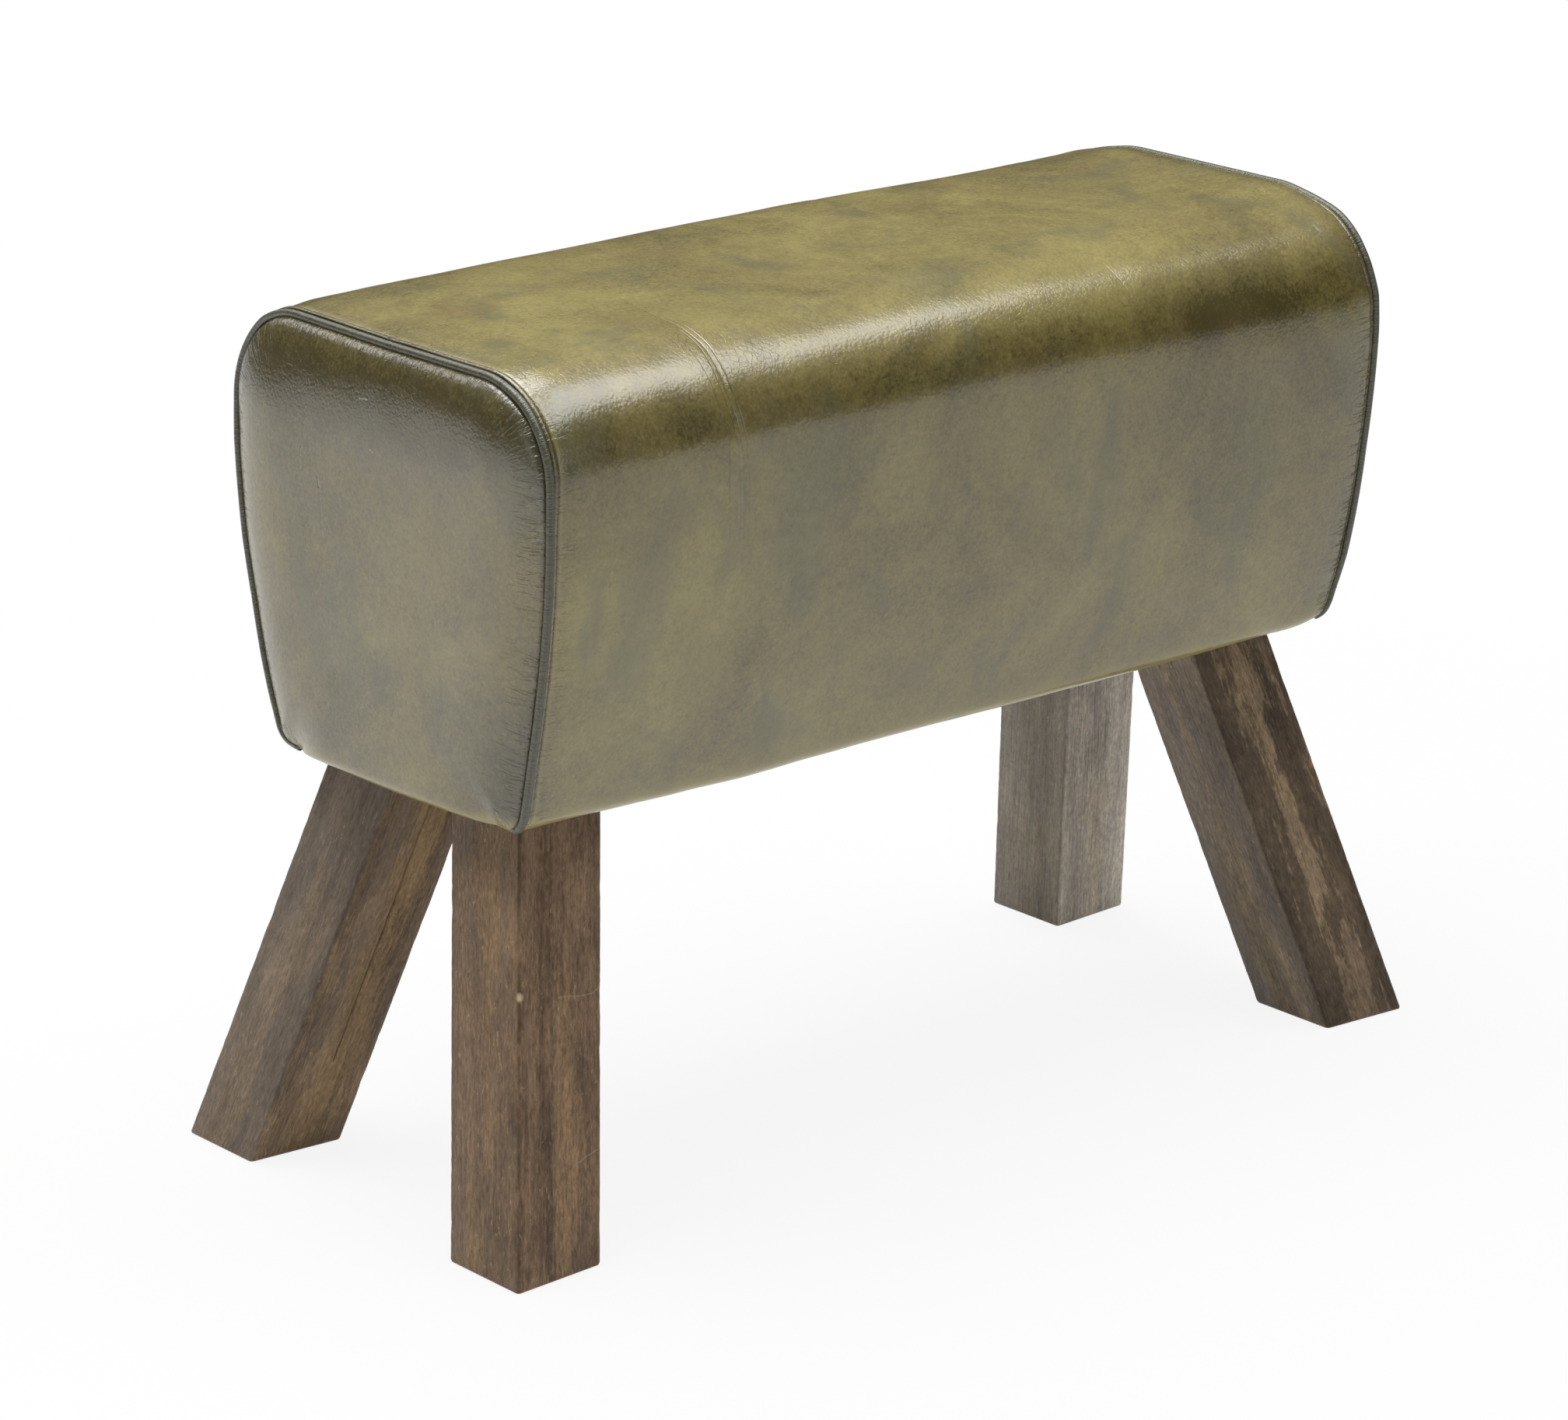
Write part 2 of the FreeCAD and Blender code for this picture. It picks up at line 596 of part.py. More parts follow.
def make_leg_screws():
    """Coach screws with hexagon heads, down through block and tenon into the leg."""
    body = new_body("LegScrews")
    shank = new_sketch(body, "Shank", "XY_Plane", SCREW_SEAT)
    circle(shank, LEG_TOP_X, LEG_TOP_Y, "Sizes.screw_radius")
    pad(body, shank, "Sizes.screw_length", "ShankPad", reverse=True)
    head = new_sketch(body, "Head", "XY_Plane", SCREW_SEAT)
    corner = "Sizes.screw_head_width / sqrt(3)"
    polygon(head, [(f"{LEG_TOP_X} + {corner} * cos({turn})", f"{LEG_TOP_Y} + {corner} * sin({turn})")
                   for turn in range(0, 360, 60)])
    pad(body, head, "Sizes.screw_head_height", "HeadPad")
    repeat_over_legs(body, "leg_screws")


def make_leg_washers():
    """Square plate washers between the screw heads and the leg blocks."""
    body = new_body("LegWashers")
    sketch = new_sketch(body, "WasherOutline", "XY_Plane", BLOCK_TOP)
    half = "Sizes.plate_washer / 2"
    rectangle(sketch, f"{LEG_TOP_X} - {half}", f"{LEG_TOP_X} + {half}",
              f"{LEG_TOP_Y} - {half}", f"{LEG_TOP_Y} + {half}")
    circle(sketch, LEG_TOP_X, LEG_TOP_Y, SCREW_HOLE)
    pad(body, sketch, "Sizes.plate_washer_thickness")
    repeat_over_legs(body, "leg_washers")


def make_dust_cover():
    """Black cloth over the underside, with a window for each leg."""
    body = new_body("DustCover")
    sketch = new_sketch(body, "DustCoverOutline", "XY_Plane", DUST_UNDERSIDE)
    end = f"({TONGUE_END} + Sizes.dust_cover_lap)"
    side = f"({HEM_EDGE} + Sizes.dust_cover_lap)"
    rectangle(sketch, f"-{end}", end, f"-{side}", side)
    pad(body, sketch, "Sizes.dust_cover")
    doc.recompute()
    open_over_legs(body, "LegWindows", UNDERSIDE, f"({LEG_HALF_ALONG} + Sizes.window_gap)",
                   f"({LEG_HALF_ACROSS} + Sizes.window_gap)", "Sizes.dust_cover")
    node(body, "dust_cover")


# ---- the whole bench ---------------------------------------------------------------------------

fill_sheet()
make_wrap()
make_end_panel()
make_piping()
make_top_foam()
make_side_foam()
make_end_foam()
make_base_board()
make_top_board()
make_side_board()
make_end_board()
make_bulkhead()
make_leg_blocks()
make_legs()
make_leg_screws()
make_leg_washers()
make_dust_cover()
doc.recompute()

failed = [obj.Label for obj in doc.Objects if {"Invalid", "Error"} & set(obj.State)]
failed += [obj.Label for obj in nodes if obj.Shape.isNull() or not obj.Shape.isValid()]
if failed:
    raise SystemExit("not built: " + ", ".join(failed))

os.makedirs("parts", exist_ok=True)
for obj in nodes:
    obj.Shape.exportStep(f"parts/{obj.Label}.step")
    print(obj.Label, len(obj.Shape.Solids), round(obj.Shape.Volume))
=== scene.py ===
"""Upholstered pommel horse: a green leather body on four splayed timber legs."""
import math

import bmesh
import bpy
import numpy as np
from bmesh.types import BMEdge, BMVert
from mathutils import Euler, Matrix, Vector, noise


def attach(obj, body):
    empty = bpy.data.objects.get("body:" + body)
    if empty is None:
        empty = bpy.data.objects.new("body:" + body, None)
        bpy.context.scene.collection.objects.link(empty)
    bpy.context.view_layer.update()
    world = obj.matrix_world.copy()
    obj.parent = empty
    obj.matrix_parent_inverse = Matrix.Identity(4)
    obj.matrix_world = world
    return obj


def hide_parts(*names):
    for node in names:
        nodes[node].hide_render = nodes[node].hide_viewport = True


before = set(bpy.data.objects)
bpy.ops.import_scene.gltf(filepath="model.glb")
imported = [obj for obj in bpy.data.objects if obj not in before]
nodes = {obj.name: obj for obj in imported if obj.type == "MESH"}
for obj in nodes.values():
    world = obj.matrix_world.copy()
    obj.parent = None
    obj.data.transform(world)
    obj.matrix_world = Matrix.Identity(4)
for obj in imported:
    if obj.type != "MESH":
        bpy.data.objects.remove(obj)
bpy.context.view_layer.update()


# ---- camera, floor and studio light ----
# The camera stands four metres off the near left corner, about head height of a seated person.
# The floor is a pale sweep. A long soft box overhead on the right makes the sheen on the ridge.

CAMERA_AT = (-2.4821, -2.8740, 1.4680)
CAMERA_AIM = (-0.0121, 0.0186, 0.2627)
CAMERA_ROLL = 0.18
CAMERA_LENS = 132.75

camera = bpy.data.objects.new("camera", bpy.data.cameras.new("camera"))
bpy.context.scene.collection.objects.link(camera)
camera.location = CAMERA_AT
aim = Vector(CAMERA_AIM) - camera.location
roll = Euler((0, 0, math.radians(CAMERA_ROLL)))
camera.rotation_mode = "QUATERNION"
camera.rotation_quaternion = aim.to_track_quat("-Z", "Y") @ roll.to_quaternion()
camera.data.lens = CAMERA_LENS
camera.data.sensor_width = 36
bpy.context.scene.camera = camera
bpy.context.scene.view_settings.view_transform = "Standard"


def new_material(name, **sockets):
    """A Principled material with these socket values, its node tree and its shader."""
    material = bpy.data.materials.new(name)
    material.use_nodes = True
    tree = material.node_tree
    shader = tree.nodes["Principled BSDF"]
    for socket, value in sockets.items():
        shader.inputs[socket.replace("_", " ")].default_value = value
    return material, tree, shader


def add(tree, kind, *links, **settings):
    """A node with these settings. A link is (input, value or output socket)."""
    item = tree.nodes.new(kind)
    for key, value in settings.items():
        setattr(item, key, value)
    for socket, value in links:
        if isinstance(value, bpy.types.NodeSocket):
            tree.links.new(value, item.inputs[socket])
        else:
            item.inputs[socket].default_value = value
    return item


def vector_of(tree, operation, *links, output="Vector"):
    """The output of a Vector Math node."""
    return add(tree, "ShaderNodeVectorMath", *links, operation=operation).outputs[output]


def sum_of(tree, operation, a, b=0.0, c=0.0, clamp=False):
    """The output of a Math node."""
    links = [(0, a), (1, b), (2, c)][:3 if operation == "MULTIPLY_ADD" else 2]
    return add(tree, "ShaderNodeMath", *links, operation=operation, use_clamp=clamp).outputs[0]


def times(tree, a, b, clamp=False):
    """One value times another."""
    return sum_of(tree, "MULTIPLY", a, b, clamp=clamp)


def spread(tree, value, start, end, low=0.0, high=1.0, smooth=False):
    """Maps the value from start..end to low..high, and holds it beyond them."""
    kind = "SMOOTHSTEP" if smooth else "LINEAR"
    return add(tree, "ShaderNodeMapRange", ("Value", value), ("From Min", start), ("From Max", end),
               ("To Min", low), ("To Max", high), interpolation_type=kind).outputs[0]


def object_spot(tree):
    """Each place's coordinates in the piece, in metres."""
    return add(tree, "ShaderNodeTexCoord").outputs["Object"]


FLOOR_RADIUS = 5.0
FLOOR_DROP = 0.0003

floor_mesh = bmesh.new()
bmesh.ops.create_circle(floor_mesh, cap_ends=True, segments=96, radius=FLOOR_RADIUS)
bmesh.ops.translate(floor_mesh, verts=floor_mesh.verts, vec=(0, 0, -FLOOR_DROP))
floor = bpy.data.objects.new("floor", bpy.data.meshes.new("floor"))
floor_mesh.to_mesh(floor.data)
floor_mesh.free()
bpy.context.scene.collection.objects.link(floor)

sweep, tree, shader = new_material("floor_sweep", Base_Color=(0.86, 0.86, 0.86, 1), Roughness=0.9)
paths = add(tree, "ShaderNodeLightPath")
spot = object_spot(tree)
centre = vector_of(tree, "LENGTH", (0, spot), output="Value")
fade = spread(tree, centre, 0.45, 1.5, 0.88, 1.0, smooth=True)
sideways = vector_of(tree, "DOT_PRODUCT", (0, spot), (1, (-0.7, 0.7, 0)), output="Value")
shine = spread(tree, sideways, -1.2, 1.2, 0.66, 1.0, smooth=True)
mirrored = sum_of(tree, "MAXIMUM", paths.outputs["Is Glossy Ray"], paths.outputs["Is Transmission Ray"])
glow = sum_of(tree, "MAXIMUM", paths.outputs["Is Camera Ray"], times(tree, mirrored, shine))
white = add(tree, "ShaderNodeEmission", ("Strength", glow))
seen = sum_of(tree, "MAXIMUM", paths.outputs["Is Camera Ray"], mirrored)
share = times(tree, seen, fade)
mixed = add(tree, "ShaderNodeMixShader", (0, share), (1, shader.outputs[0]), (2, white.outputs[0]))
underneath = add(tree, "ShaderNodeNewGeometry").outputs["Backfacing"]
below = times(tree, underneath, paths.outputs["Is Camera Ray"])
clear = add(tree, "ShaderNodeBsdfTransparent")
two_sided = add(tree, "ShaderNodeMixShader", (0, below), (1, mixed.outputs[0]), (2, clear.outputs[0]))
tree.links.new(two_sided.outputs[0], tree.nodes["Material Output"].inputs["Surface"])
floor.data.materials.append(sweep)


def ramp(tree, value, *stops):
    """A colour ramp through these stops, each a place from 0 to 1 and its colour."""
    made = add(tree, "ShaderNodeValToRGB", (0, value))
    first, last = made.color_ramp.elements
    first.position, first.color = stops[0]
    last.position, last.color = stops[-1]
    for place, colour in stops[1:-1]:
        made.color_ramp.elements.new(place).color = colour
    return made.outputs["Color"]


world = bpy.data.worlds.new("studio")
bpy.context.scene.world = world
world.use_nodes = True
tree = world.node_tree
level = add(tree, "ShaderNodeSeparateXYZ", (0, add(tree, "ShaderNodeTexCoord").outputs["Generated"]))
walls = ramp(tree, level.outputs["Z"], (0.1, (0.035, 0.035, 0.035, 1)), (0.9, (0.20, 0.20, 0.20, 1)))
paths = add(tree, "ShaderNodeLightPath")
open_side = spread(tree, level.outputs["Y"], -1.0, 1.0, 0.5, 2.0)
room = add(tree, "ShaderNodeBackground", ("Color", walls), ("Strength", open_side))
backdrop = add(tree, "ShaderNodeBackground", ("Color", (1, 1, 1, 1)), ("Strength", 1.0))
behind = add(tree, "ShaderNodeMixShader", (0, paths.outputs["Is Camera Ray"]), (1, room.outputs[0]),
             (2, backdrop.outputs[0]))
tree.links.new(behind.outputs[0], tree.nodes["World Output"].inputs["Surface"])

for name, place, target, size, power in [
    ("ridge_box", (0.75, -0.72, 2.30), (0.0, -0.1, 0.5), (1.50, 0.9), 14.2),
    ("overhead_box", (-0.3, 0.5, 2.8), (0.0, 0.0, 0.4), (2.4, 2.0), 76),
    ("back_box", (-0.9, 2.5, 2.1), (-0.2, 0.0, 0.5), (1.6, 0.8), 9),
    ("left_box", (-2.6, -0.6, 0.9), (-0.3, 0.0, 0.3), (1.2, 0.8), 1.5),
    ("front_box", (0.2, -3.4, 1.2), (0.0, 0.0, 0.1), (2.6, 1.2), 9),
]:
    lamp = bpy.data.objects.new(name, bpy.data.lights.new(name, "AREA"))
    bpy.context.scene.collection.objects.link(lamp)
    lamp.data.shape = "RECTANGLE"
    lamp.data.size, lamp.data.size_y = size
    lamp.data.energy = power
    lamp.location = place
    lamp.rotation_mode = "QUATERNION"
    lamp.rotation_quaternion = (Vector(target) - Vector(place)).to_track_quat("-Z", "Y")


# ---- legs ----
# Four 70 mm square posts of a coarse hardwood, stained dark grey brown and rubbed through to gold
# on the faces. Each leans outwards both ways, and is sawn level with the floor and with the seat base.

LEG_SIZE = 0.070
LEG_TOP = 0.287
LEG_BLANK = 0.42
BLANK_MIDDLE = 0.15
LONG_EDGE = 0.2
LEG_ARRIS = 0.003
SOLE_ARRIS = 0.0023
SPLAY_ALONG = 13.6
SPLAY_ACROSS = 15.7
FOOT = Vector((0.36902, 0.14405, 0))
CRACK_AT = 0.0025
CRACK_FOOT = 0.080
CRACK_HALF = 0.0009
CRACK_DEEP = 0.0040
CHIP_AT = 0.1712
CHIP_SIZE = 0.0027
CHIP_DEEP = 0.0014
SCRATCHES = [
    [(-0.0020, 0.1713), (0.0046, 0.1723), (0.0158, 0.1723), (0.0270, 0.1744), (0.0329, 0.1789)],
    [(0.0114, 0.0630), (0.0193, 0.0678), (0.0311, 0.0736)],
]
# Each leg: its name, its side and front (-1 or 1), the painted light on its end faces and on its side faces (colour
# factors for the light and floor bounce each face gets), its share of mottled patches, and its share of pale
# streaks, which is painted light.
LEGS = [
    ("leg_front_left", -1, -1, (1.38, 1.24, 1.14), (1.16, 1.05, 1.06), 0.15, 0.0),
    ("leg_back_left", -1, 1, (1.10, 1.08, 1.08), (1.34, 1.24, 1.12), 0.45, 0.08),
    ("leg_front_right", 1, -1, (1.50, 1.56, 1.66), (0.90, 0.90, 0.96), 1.0, 0.0),
    ("leg_back_right", 1, 1, (1.06, 1.10, 1.09), (2.22, 2.48, 2.78), 0.15, 0.32),
]


def store(mesh, name, values):
    """Keeps a number or a vector for each point of the mesh, for its material to read."""
    values = np.asarray(values, np.float32)
    kind = "FLOAT" if values.ndim == 1 else "FLOAT_VECTOR"
    layer = mesh.attributes.new(name, kind, "POINT")
    layer.data.foreach_set("value" if values.ndim == 1 else "vector", values.ravel())


def points_of(mesh, what="co"):
    """The place of each point, or its normal, as rows of numbers."""
    rows = np.zeros(len(mesh.vertices) * 3, np.float32)
    mesh.vertices.foreach_get(what, rows)
    return rows.reshape(-1, 3).astype(float)


def make_object(name, bm, *materials, smooth=True):
    """A new object at the origin from a bmesh, with its materials."""
    mesh = bpy.data.meshes.new(name)
    bm.to_mesh(mesh)
    bm.free()
    piece = bpy.data.objects.new(name, mesh)
    bpy.context.scene.collection.objects.link(piece)
    for material in materials:
        mesh.materials.append(material)
    if smooth:
        mesh.shade_smooth()
    return piece


def slice_at(bm, point, facing, **settings):
    """Cuts the mesh along this plane, and gives the new edges and points."""
    geom = bm.verts[:] + bm.edges[:] + bm.faces[:]
    return bmesh.ops.bisect_plane(bm, geom=geom, plane_co=point, plane_no=facing, **settings)["geom_cut"]


def stored(tree, name, output="Fac"):
    """What store() kept under this name: a number, or with "Vector" a vector."""
    return add(tree, "ShaderNodeAttribute", attribute_name=name).outputs[output]


def mottle(tree, spot, scale, detail, roughness=0.5, distortion=0.0):
    """Soft noise from 0 to 1, mostly near 0.5."""
    return add(tree, "ShaderNodeTexNoise", ("Vector", spot), ("Scale", scale), ("Detail", detail),
               ("Roughness", roughness), ("Distortion", distortion)).outputs["Fac"]


def mix(tree, share, under, over):
    """The colour under, with this share of the colour over."""
    return add(tree, "ShaderNodeMix", ("Factor", share), ("A", under), ("B", over),
               data_type="RGBA").outputs["Result"]


def weighted(tree, *terms):
    """The sum of these values, each times its weight."""
    total = times(tree, *terms[0])
    for value, weight in terms[1:]:
        total = sum_of(tree, "MULTIPLY_ADD", value, weight, total)
    return total


def add_bump(tree, shader, height, strength, distance, coat=False):
    """Gives the surface this relief, and its coat with it."""
    bump = add(tree, "ShaderNodeBump", ("Height", height), ("Strength", strength), ("Distance", distance))
    tree.links.new(bump.outputs[0], shader.inputs["Normal"])
    if coat:
        tree.links.new(bump.outputs[0], shader.inputs["Coat Normal"])


leg_wood, tree, shader = new_material("leg_wood", Specular_IOR_Level=0.30)
grain = stored(tree, "grain", "Vector")
across = stored(tree, "across", "Vector")
raw = stored(tree, "raw")
crack_shade = stored(tree, "crack_shade")
sides = add(tree, "ShaderNodeSeparateXYZ", (0, across))
off_x = sum_of(tree, "ABSOLUTE", sides.outputs[0])
off_y = sum_of(tree, "ABSOLUTE", sides.outputs[1])
from_middle = sum_of(tree, "MINIMUM", off_x, off_y)


def grain_noise(stretch, scale, detail, roughness=0.6):
    """Noise drawn out along the grain of the leg."""
    spot = add(tree, "ShaderNodeMapping", ("Vector", grain), ("Scale", (1, 1, stretch)))
    return mottle(tree, spot.outputs[0], scale, detail, roughness)


def off_line(tree, spot, start, end):
    """How far each place is from a short straight scratch or fold."""
    start, end = Vector(start), Vector(end)
    line = end - start
    from_start = vector_of(tree, "SUBTRACT", (0, spot), (1, start))
    share = vector_of(tree, "DOT_PRODUCT", (0, from_start), (1, line / line.length_squared), output="Value")
    share = times(tree, share, 1.0, clamp=True)
    nearest = vector_of(tree, "SCALE", (0, line), ("Scale", share))
    return vector_of(tree, "DISTANCE", (0, from_start), (1, nearest), output="Value")


def off_lines(tree, spot, lines):
    """How far each place is from the nearest of these scratches."""
    nearest = off_line(tree, spot, *lines[0])
    for start, end in lines[1:]:
        nearest = sum_of(tree, "MINIMUM", nearest, off_line(tree, spot, start, end))
    return nearest


band = grain_noise(0.07, 46.0, 4.0)
cloudy = grain_noise(0.45, 30.0, 5.0)
fibre = grain_noise(0.035, 760.0, 2.0, 0.7)
ragged = grain_noise(0.10, 210.0, 6.0, 0.72)
fleck = grain_noise(0.30, 560.0, 3.0, 0.65)
end_face = spread(tree, sum_of(tree, "SUBTRACT", off_x, off_y), -0.001, 0.001)
level = weighted(tree, (cloudy, 0.46), (band, 0.50), (fleck, 0.40), (fibre, 0.28))
level = sum_of(tree, "SUBTRACT", level, 0.32)
tone = ramp(tree, level, (0.34, (0.088, 0.063, 0.041, 1)), (0.72, (0.335, 0.237, 0.138, 1)))
gold = ramp(tree, weighted(tree, (fleck, 0.4), (ragged, 0.6)), (0.36, (0.150, 0.105, 0.056, 1)),
            (0.62, (0.400, 0.285, 0.150, 1)))
face = spread(tree, from_middle, 0.034, 0.004, -0.20, 0.05)
rubbed = weighted(tree, (cloudy, 0.20), (ragged, 0.28), (grain_noise(0.22, 24.0, 3.0), 0.62))
rubbed = spread(tree, sum_of(tree, "ADD", rubbed, face), 0.50, 0.62, smooth=True)
greyed = times(tree, end_face, spread(tree, grain_noise(0.30, 18.0, 4.0), 0.40, 0.62, 0.12, 0.62))
plain = mix(tree, greyed, tone, (0.130, 0.110, 0.091, 1))
golden = times(tree, rubbed, sum_of(tree, "MULTIPLY_ADD", end_face, -0.28, 0.58))
colour = mix(tree, golden, plain, gold)
near_arris = spread(tree, from_middle, 0.0318, 0.0345, 0.0, 0.65, smooth=True)
near_arris = times(tree, near_arris, spread(tree, grain_noise(0.35, 60.0, 4.0), 0.36, 0.54))
colour = mix(tree, near_arris, colour, (0.045, 0.032, 0.022, 1))
pores = spread(tree, grain_noise(0.16, 520.0, 2.0), 0.57, 0.68, 0.0, 0.36)
colour = mix(tree, pores, colour, (0.060, 0.043, 0.028, 1))
pale = spread(tree, grain_noise(0.42, 330.0, 3.0), 0.64, 0.72, 0.0, 0.50)
colour = mix(tree, pale, colour, (0.46, 0.36, 0.20, 1))
# Painted light: a share for each leg mixes pale grey into the grain streaks, lightening the back legs as if more
# light fell on them.
painted_light_paling = sum_of(tree, "MULTIPLY_ADD", sum_of(tree, "ADD", band, fibre), 2.4, -1.4)
painted_light_paling = times(tree, stored(tree, "painted_light_paling"), painted_light_paling, clamp=True)
colour = mix(tree, painted_light_paling, colour, (0.46, 0.40, 0.33, 1))
crackle = spread(tree, grain_noise(0.40, 420.0, 5.0, 0.75), 0.34, 0.66, 0.72, 1.28)
smear = spread(tree, grain_noise(0.45, 40.0, 4.0), 0.34, 0.66, 0.90, 1.10)
# Painted light: each face's colour is scaled by its leg's factor for end or side faces, standing in for the light
# and floor bounce that face gets.
tint = mix(tree, end_face, stored(tree, "side_painted_light", "Vector"), stored(tree, "end_painted_light", "Vector"))
patch = sum_of(tree, "ADD", grain_noise(0.20, 60.0, 6.0, 0.72), times(tree, face, 0.7))
patch = spread(tree, patch, 0.43, 0.50, -0.34, 0.40, smooth=True)
patch = times(tree, patch, sum_of(tree, "MULTIPLY_ADD", end_face, -0.75, 1.0))
patched = sum_of(tree, "MULTIPLY_ADD", patch, stored(tree, "patched"), 1.0)
varied = times(tree, patched, times(tree, crackle, smear))
tint = vector_of(tree, "SCALE", (0, tint), ("Scale", varied))
colour = vector_of(tree, "MULTIPLY", (0, colour), (1, tint))
height = add(tree, "ShaderNodeSeparateXYZ", (0, object_spot(tree))).outputs[2]
height = sum_of(tree, "MULTIPLY_ADD", ragged, 0.0030, sum_of(tree, "SUBTRACT", height, 0.0015))
bare = spread(tree, height, 0.0012, 0.0004, 0.0, 0.85)
colour = mix(tree, bare, colour, (0.46, 0.36, 0.20, 1))
on_front = [[(x, -LEG_SIZE / 2, z) for x, z in line] for line in SCRATCHES]
scraped = off_lines(tree, across, [ends for line in on_front for ends in zip(line, line[1:])])
uneven = sum_of(tree, "MULTIPLY_ADD", fleck, 0.0010, -0.0002)
scraped = spread(tree, scraped, uneven, sum_of(tree, "ADD", uneven, 0.0003), 0.60, 0.0)
colour = mix(tree, scraped, colour, (0.40, 0.32, 0.23, 1))
colour = mix(tree, raw, colour, (0.74, 0.60, 0.40, 1))
# Painted shade: the deepest line of the crack is painted near black.
colour = mix(tree, crack_shade, colour, (0.018, 0.012, 0.008, 1))
tree.links.new(colour, shader.inputs["Base Color"])
tree.links.new(spread(tree, rubbed, 0.0, 1.0, 0.46, 0.62), shader.inputs["Roughness"])
relief = weighted(tree, (fleck, 0.5), (pores, -0.8), (ragged, 0.6), (fibre, 0.6))
add_bump(tree, shader, relief, 0.8, 0.0003)

for index, (node, side, front, end_painted_light, side_painted_light, patched, painted_light_paling) in enumerate(LEGS):
    lean_along = Euler((0, math.radians(-SPLAY_ALONG * side), 0)).to_matrix()
    lean = lean_along @ Euler((math.radians(SPLAY_ACROSS * front), 0, 0)).to_matrix()
    place = Matrix.Translation(Vector((FOOT.x * side, FOOT.y * front, 0))) @ lean.to_4x4()
    bm = bmesh.new()
    blank = Matrix.Translation((0, 0, BLANK_MIDDLE)) @ Matrix.Diagonal((LEG_SIZE, LEG_SIZE, LEG_BLANK, 1))
    bmesh.ops.create_cube(bm, size=1, matrix=blank)
    bmesh.ops.transform(bm, matrix=place, verts=bm.verts)
    for level, out in ((0.0, -1), (LEG_TOP, 1)):
        sawn = slice_at(bm, (0, 0, level), (0, 0, out), clear_outer=True)
        bmesh.ops.contextual_create(bm, geom=[e for e in sawn if isinstance(e, BMEdge)])
    upright = [e for e in bm.edges if abs(e.verts[0].co.z - e.verts[1].co.z) > LONG_EDGE]
    bmesh.ops.bevel(bm, geom=upright, offset=LEG_ARRIS, segments=3, profile=0.5, affect="EDGES", material=-1)
    sole = [e for e in bm.edges if max(v.co.z for v in e.verts) < 0.001]
    bmesh.ops.bevel(bm, geom=sole, offset=SOLE_ARRIS, segments=2, profile=0.5, affect="EDGES", material=-1)
    upright = [e for e in bm.edges if abs(e.verts[0].co.z - e.verts[1].co.z) > LONG_EDGE]
    bmesh.ops.subdivide_edges(bm, edges=upright, cuts=90, use_grid_fill=True)
    turn = place.to_3x3()
    to_leg = place.inverted()
    cuts = []
    if node == "leg_back_left":
        cuts = [((CRACK_AT + step, 0, 0), (1, 0, 0)) for step in (-CRACK_HALF, 0, CRACK_HALF)]
    elif node == "leg_front_left":
        steps = (-0.0042, -0.0026, -0.0012, 0, 0.0012, 0.0026, 0.0042)
        cuts = [((0, 0, CHIP_AT + step), (0, 0, 1)) for step in steps]
        cuts += [((inside, 0, 0), (1, 0, 0)) for inside in (-0.0303, -0.0285)]
        cuts += [((0, inside, 0), (0, 1, 0)) for inside in (-0.0303, -0.0285)]
    for point, facing in cuts:
        slice_at(bm, place @ Vector(point), turn @ Vector(facing))
    chipped, crack_shade_points = {}, {}
    bm.verts.index_update()
    for vert in bm.verts:
        spot = to_leg @ vert.co
        if min(abs(spot.x), abs(spot.y)) > LEG_SIZE / 2 - LEG_ARRIS and 0.004 < vert.co.z < LEG_TOP - 0.004:
            dent = max(0, noise.noise(spot * 55 + Vector((7 * index, 0, 0)))) * 0.0005
            dent += 0.0002 * noise.noise(spot * 260)
            spot.x -= math.copysign(dent, spot.x)
            spot.y -= math.copysign(dent, spot.y)
        if node == "leg_back_left" and abs(spot.x - CRACK_AT) < 0.0011 and spot.y < 0 and spot.z > CRACK_FOOT:
            open_share = min(1, (spot.z - CRACK_FOOT) / 0.05)
            # The deepest line of the crack is marked for its painted shade.
            if abs(spot.x - CRACK_AT) < 0.0001:
                spot.y += CRACK_DEEP * open_share
                crack_shade_points[vert.index] = 1
            wavy = 0.0011 * noise.noise(Vector((0, 0, spot.z * 45)))
            spot.x += wavy + 0.0004 * noise.noise(Vector((0, 0, spot.z * 260)))
        if node == "leg_front_left":
            from_chip = Vector((spot.x + LEG_SIZE / 2 - 0.0012, spot.y + LEG_SIZE / 2 - 0.0008,
                                (spot.z - CHIP_AT) * 0.8))
            depth = max(0, 1 - from_chip.length / CHIP_SIZE)
            spot += Vector((CHIP_DEEP, CHIP_DEEP, 0)) * depth
            chipped[vert.index] = min(1, 2.0 * depth)
        vert.co = place @ spot
    bmesh.ops.recalc_face_normals(bm, faces=bm.faces[:])
    leg = make_object("post_" + node[4:], bm, leg_wood)
    count = len(leg.data.vertices)
    local = points_of(leg.data) @ np.array(to_leg)[:3, :3].T + np.array(to_leg)[:3, 3]
    store(leg.data, "grain", local + (0.21 * index, 0.13 * index, 0.35 * index))
    store(leg.data, "across", local + (0, 0, index))
    store(leg.data, "end_painted_light", np.tile(end_painted_light, (count, 1)))
    store(leg.data, "side_painted_light", np.tile(side_painted_light, (count, 1)))
    store(leg.data, "raw", [chipped.get(i, 0) for i in range(count)])
    store(leg.data, "crack_shade", [crack_shade_points.get(i, 0) for i in range(count)])
    store(leg.data, "patched", np.full(count, patched))
    store(leg.data, "painted_light_paling", np.full(count, painted_light_paling))
    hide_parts(node)
    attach(leg, "root")


# ---- box under the padding ----
# A birch plywood box: a base board, a lid, sloping sides, two ends and a bulkhead. Softwood blocks
# stand on the base over the legs, and a coach screw and a square washer pull each leg up tight.

PLY_PITCH = 0.0026


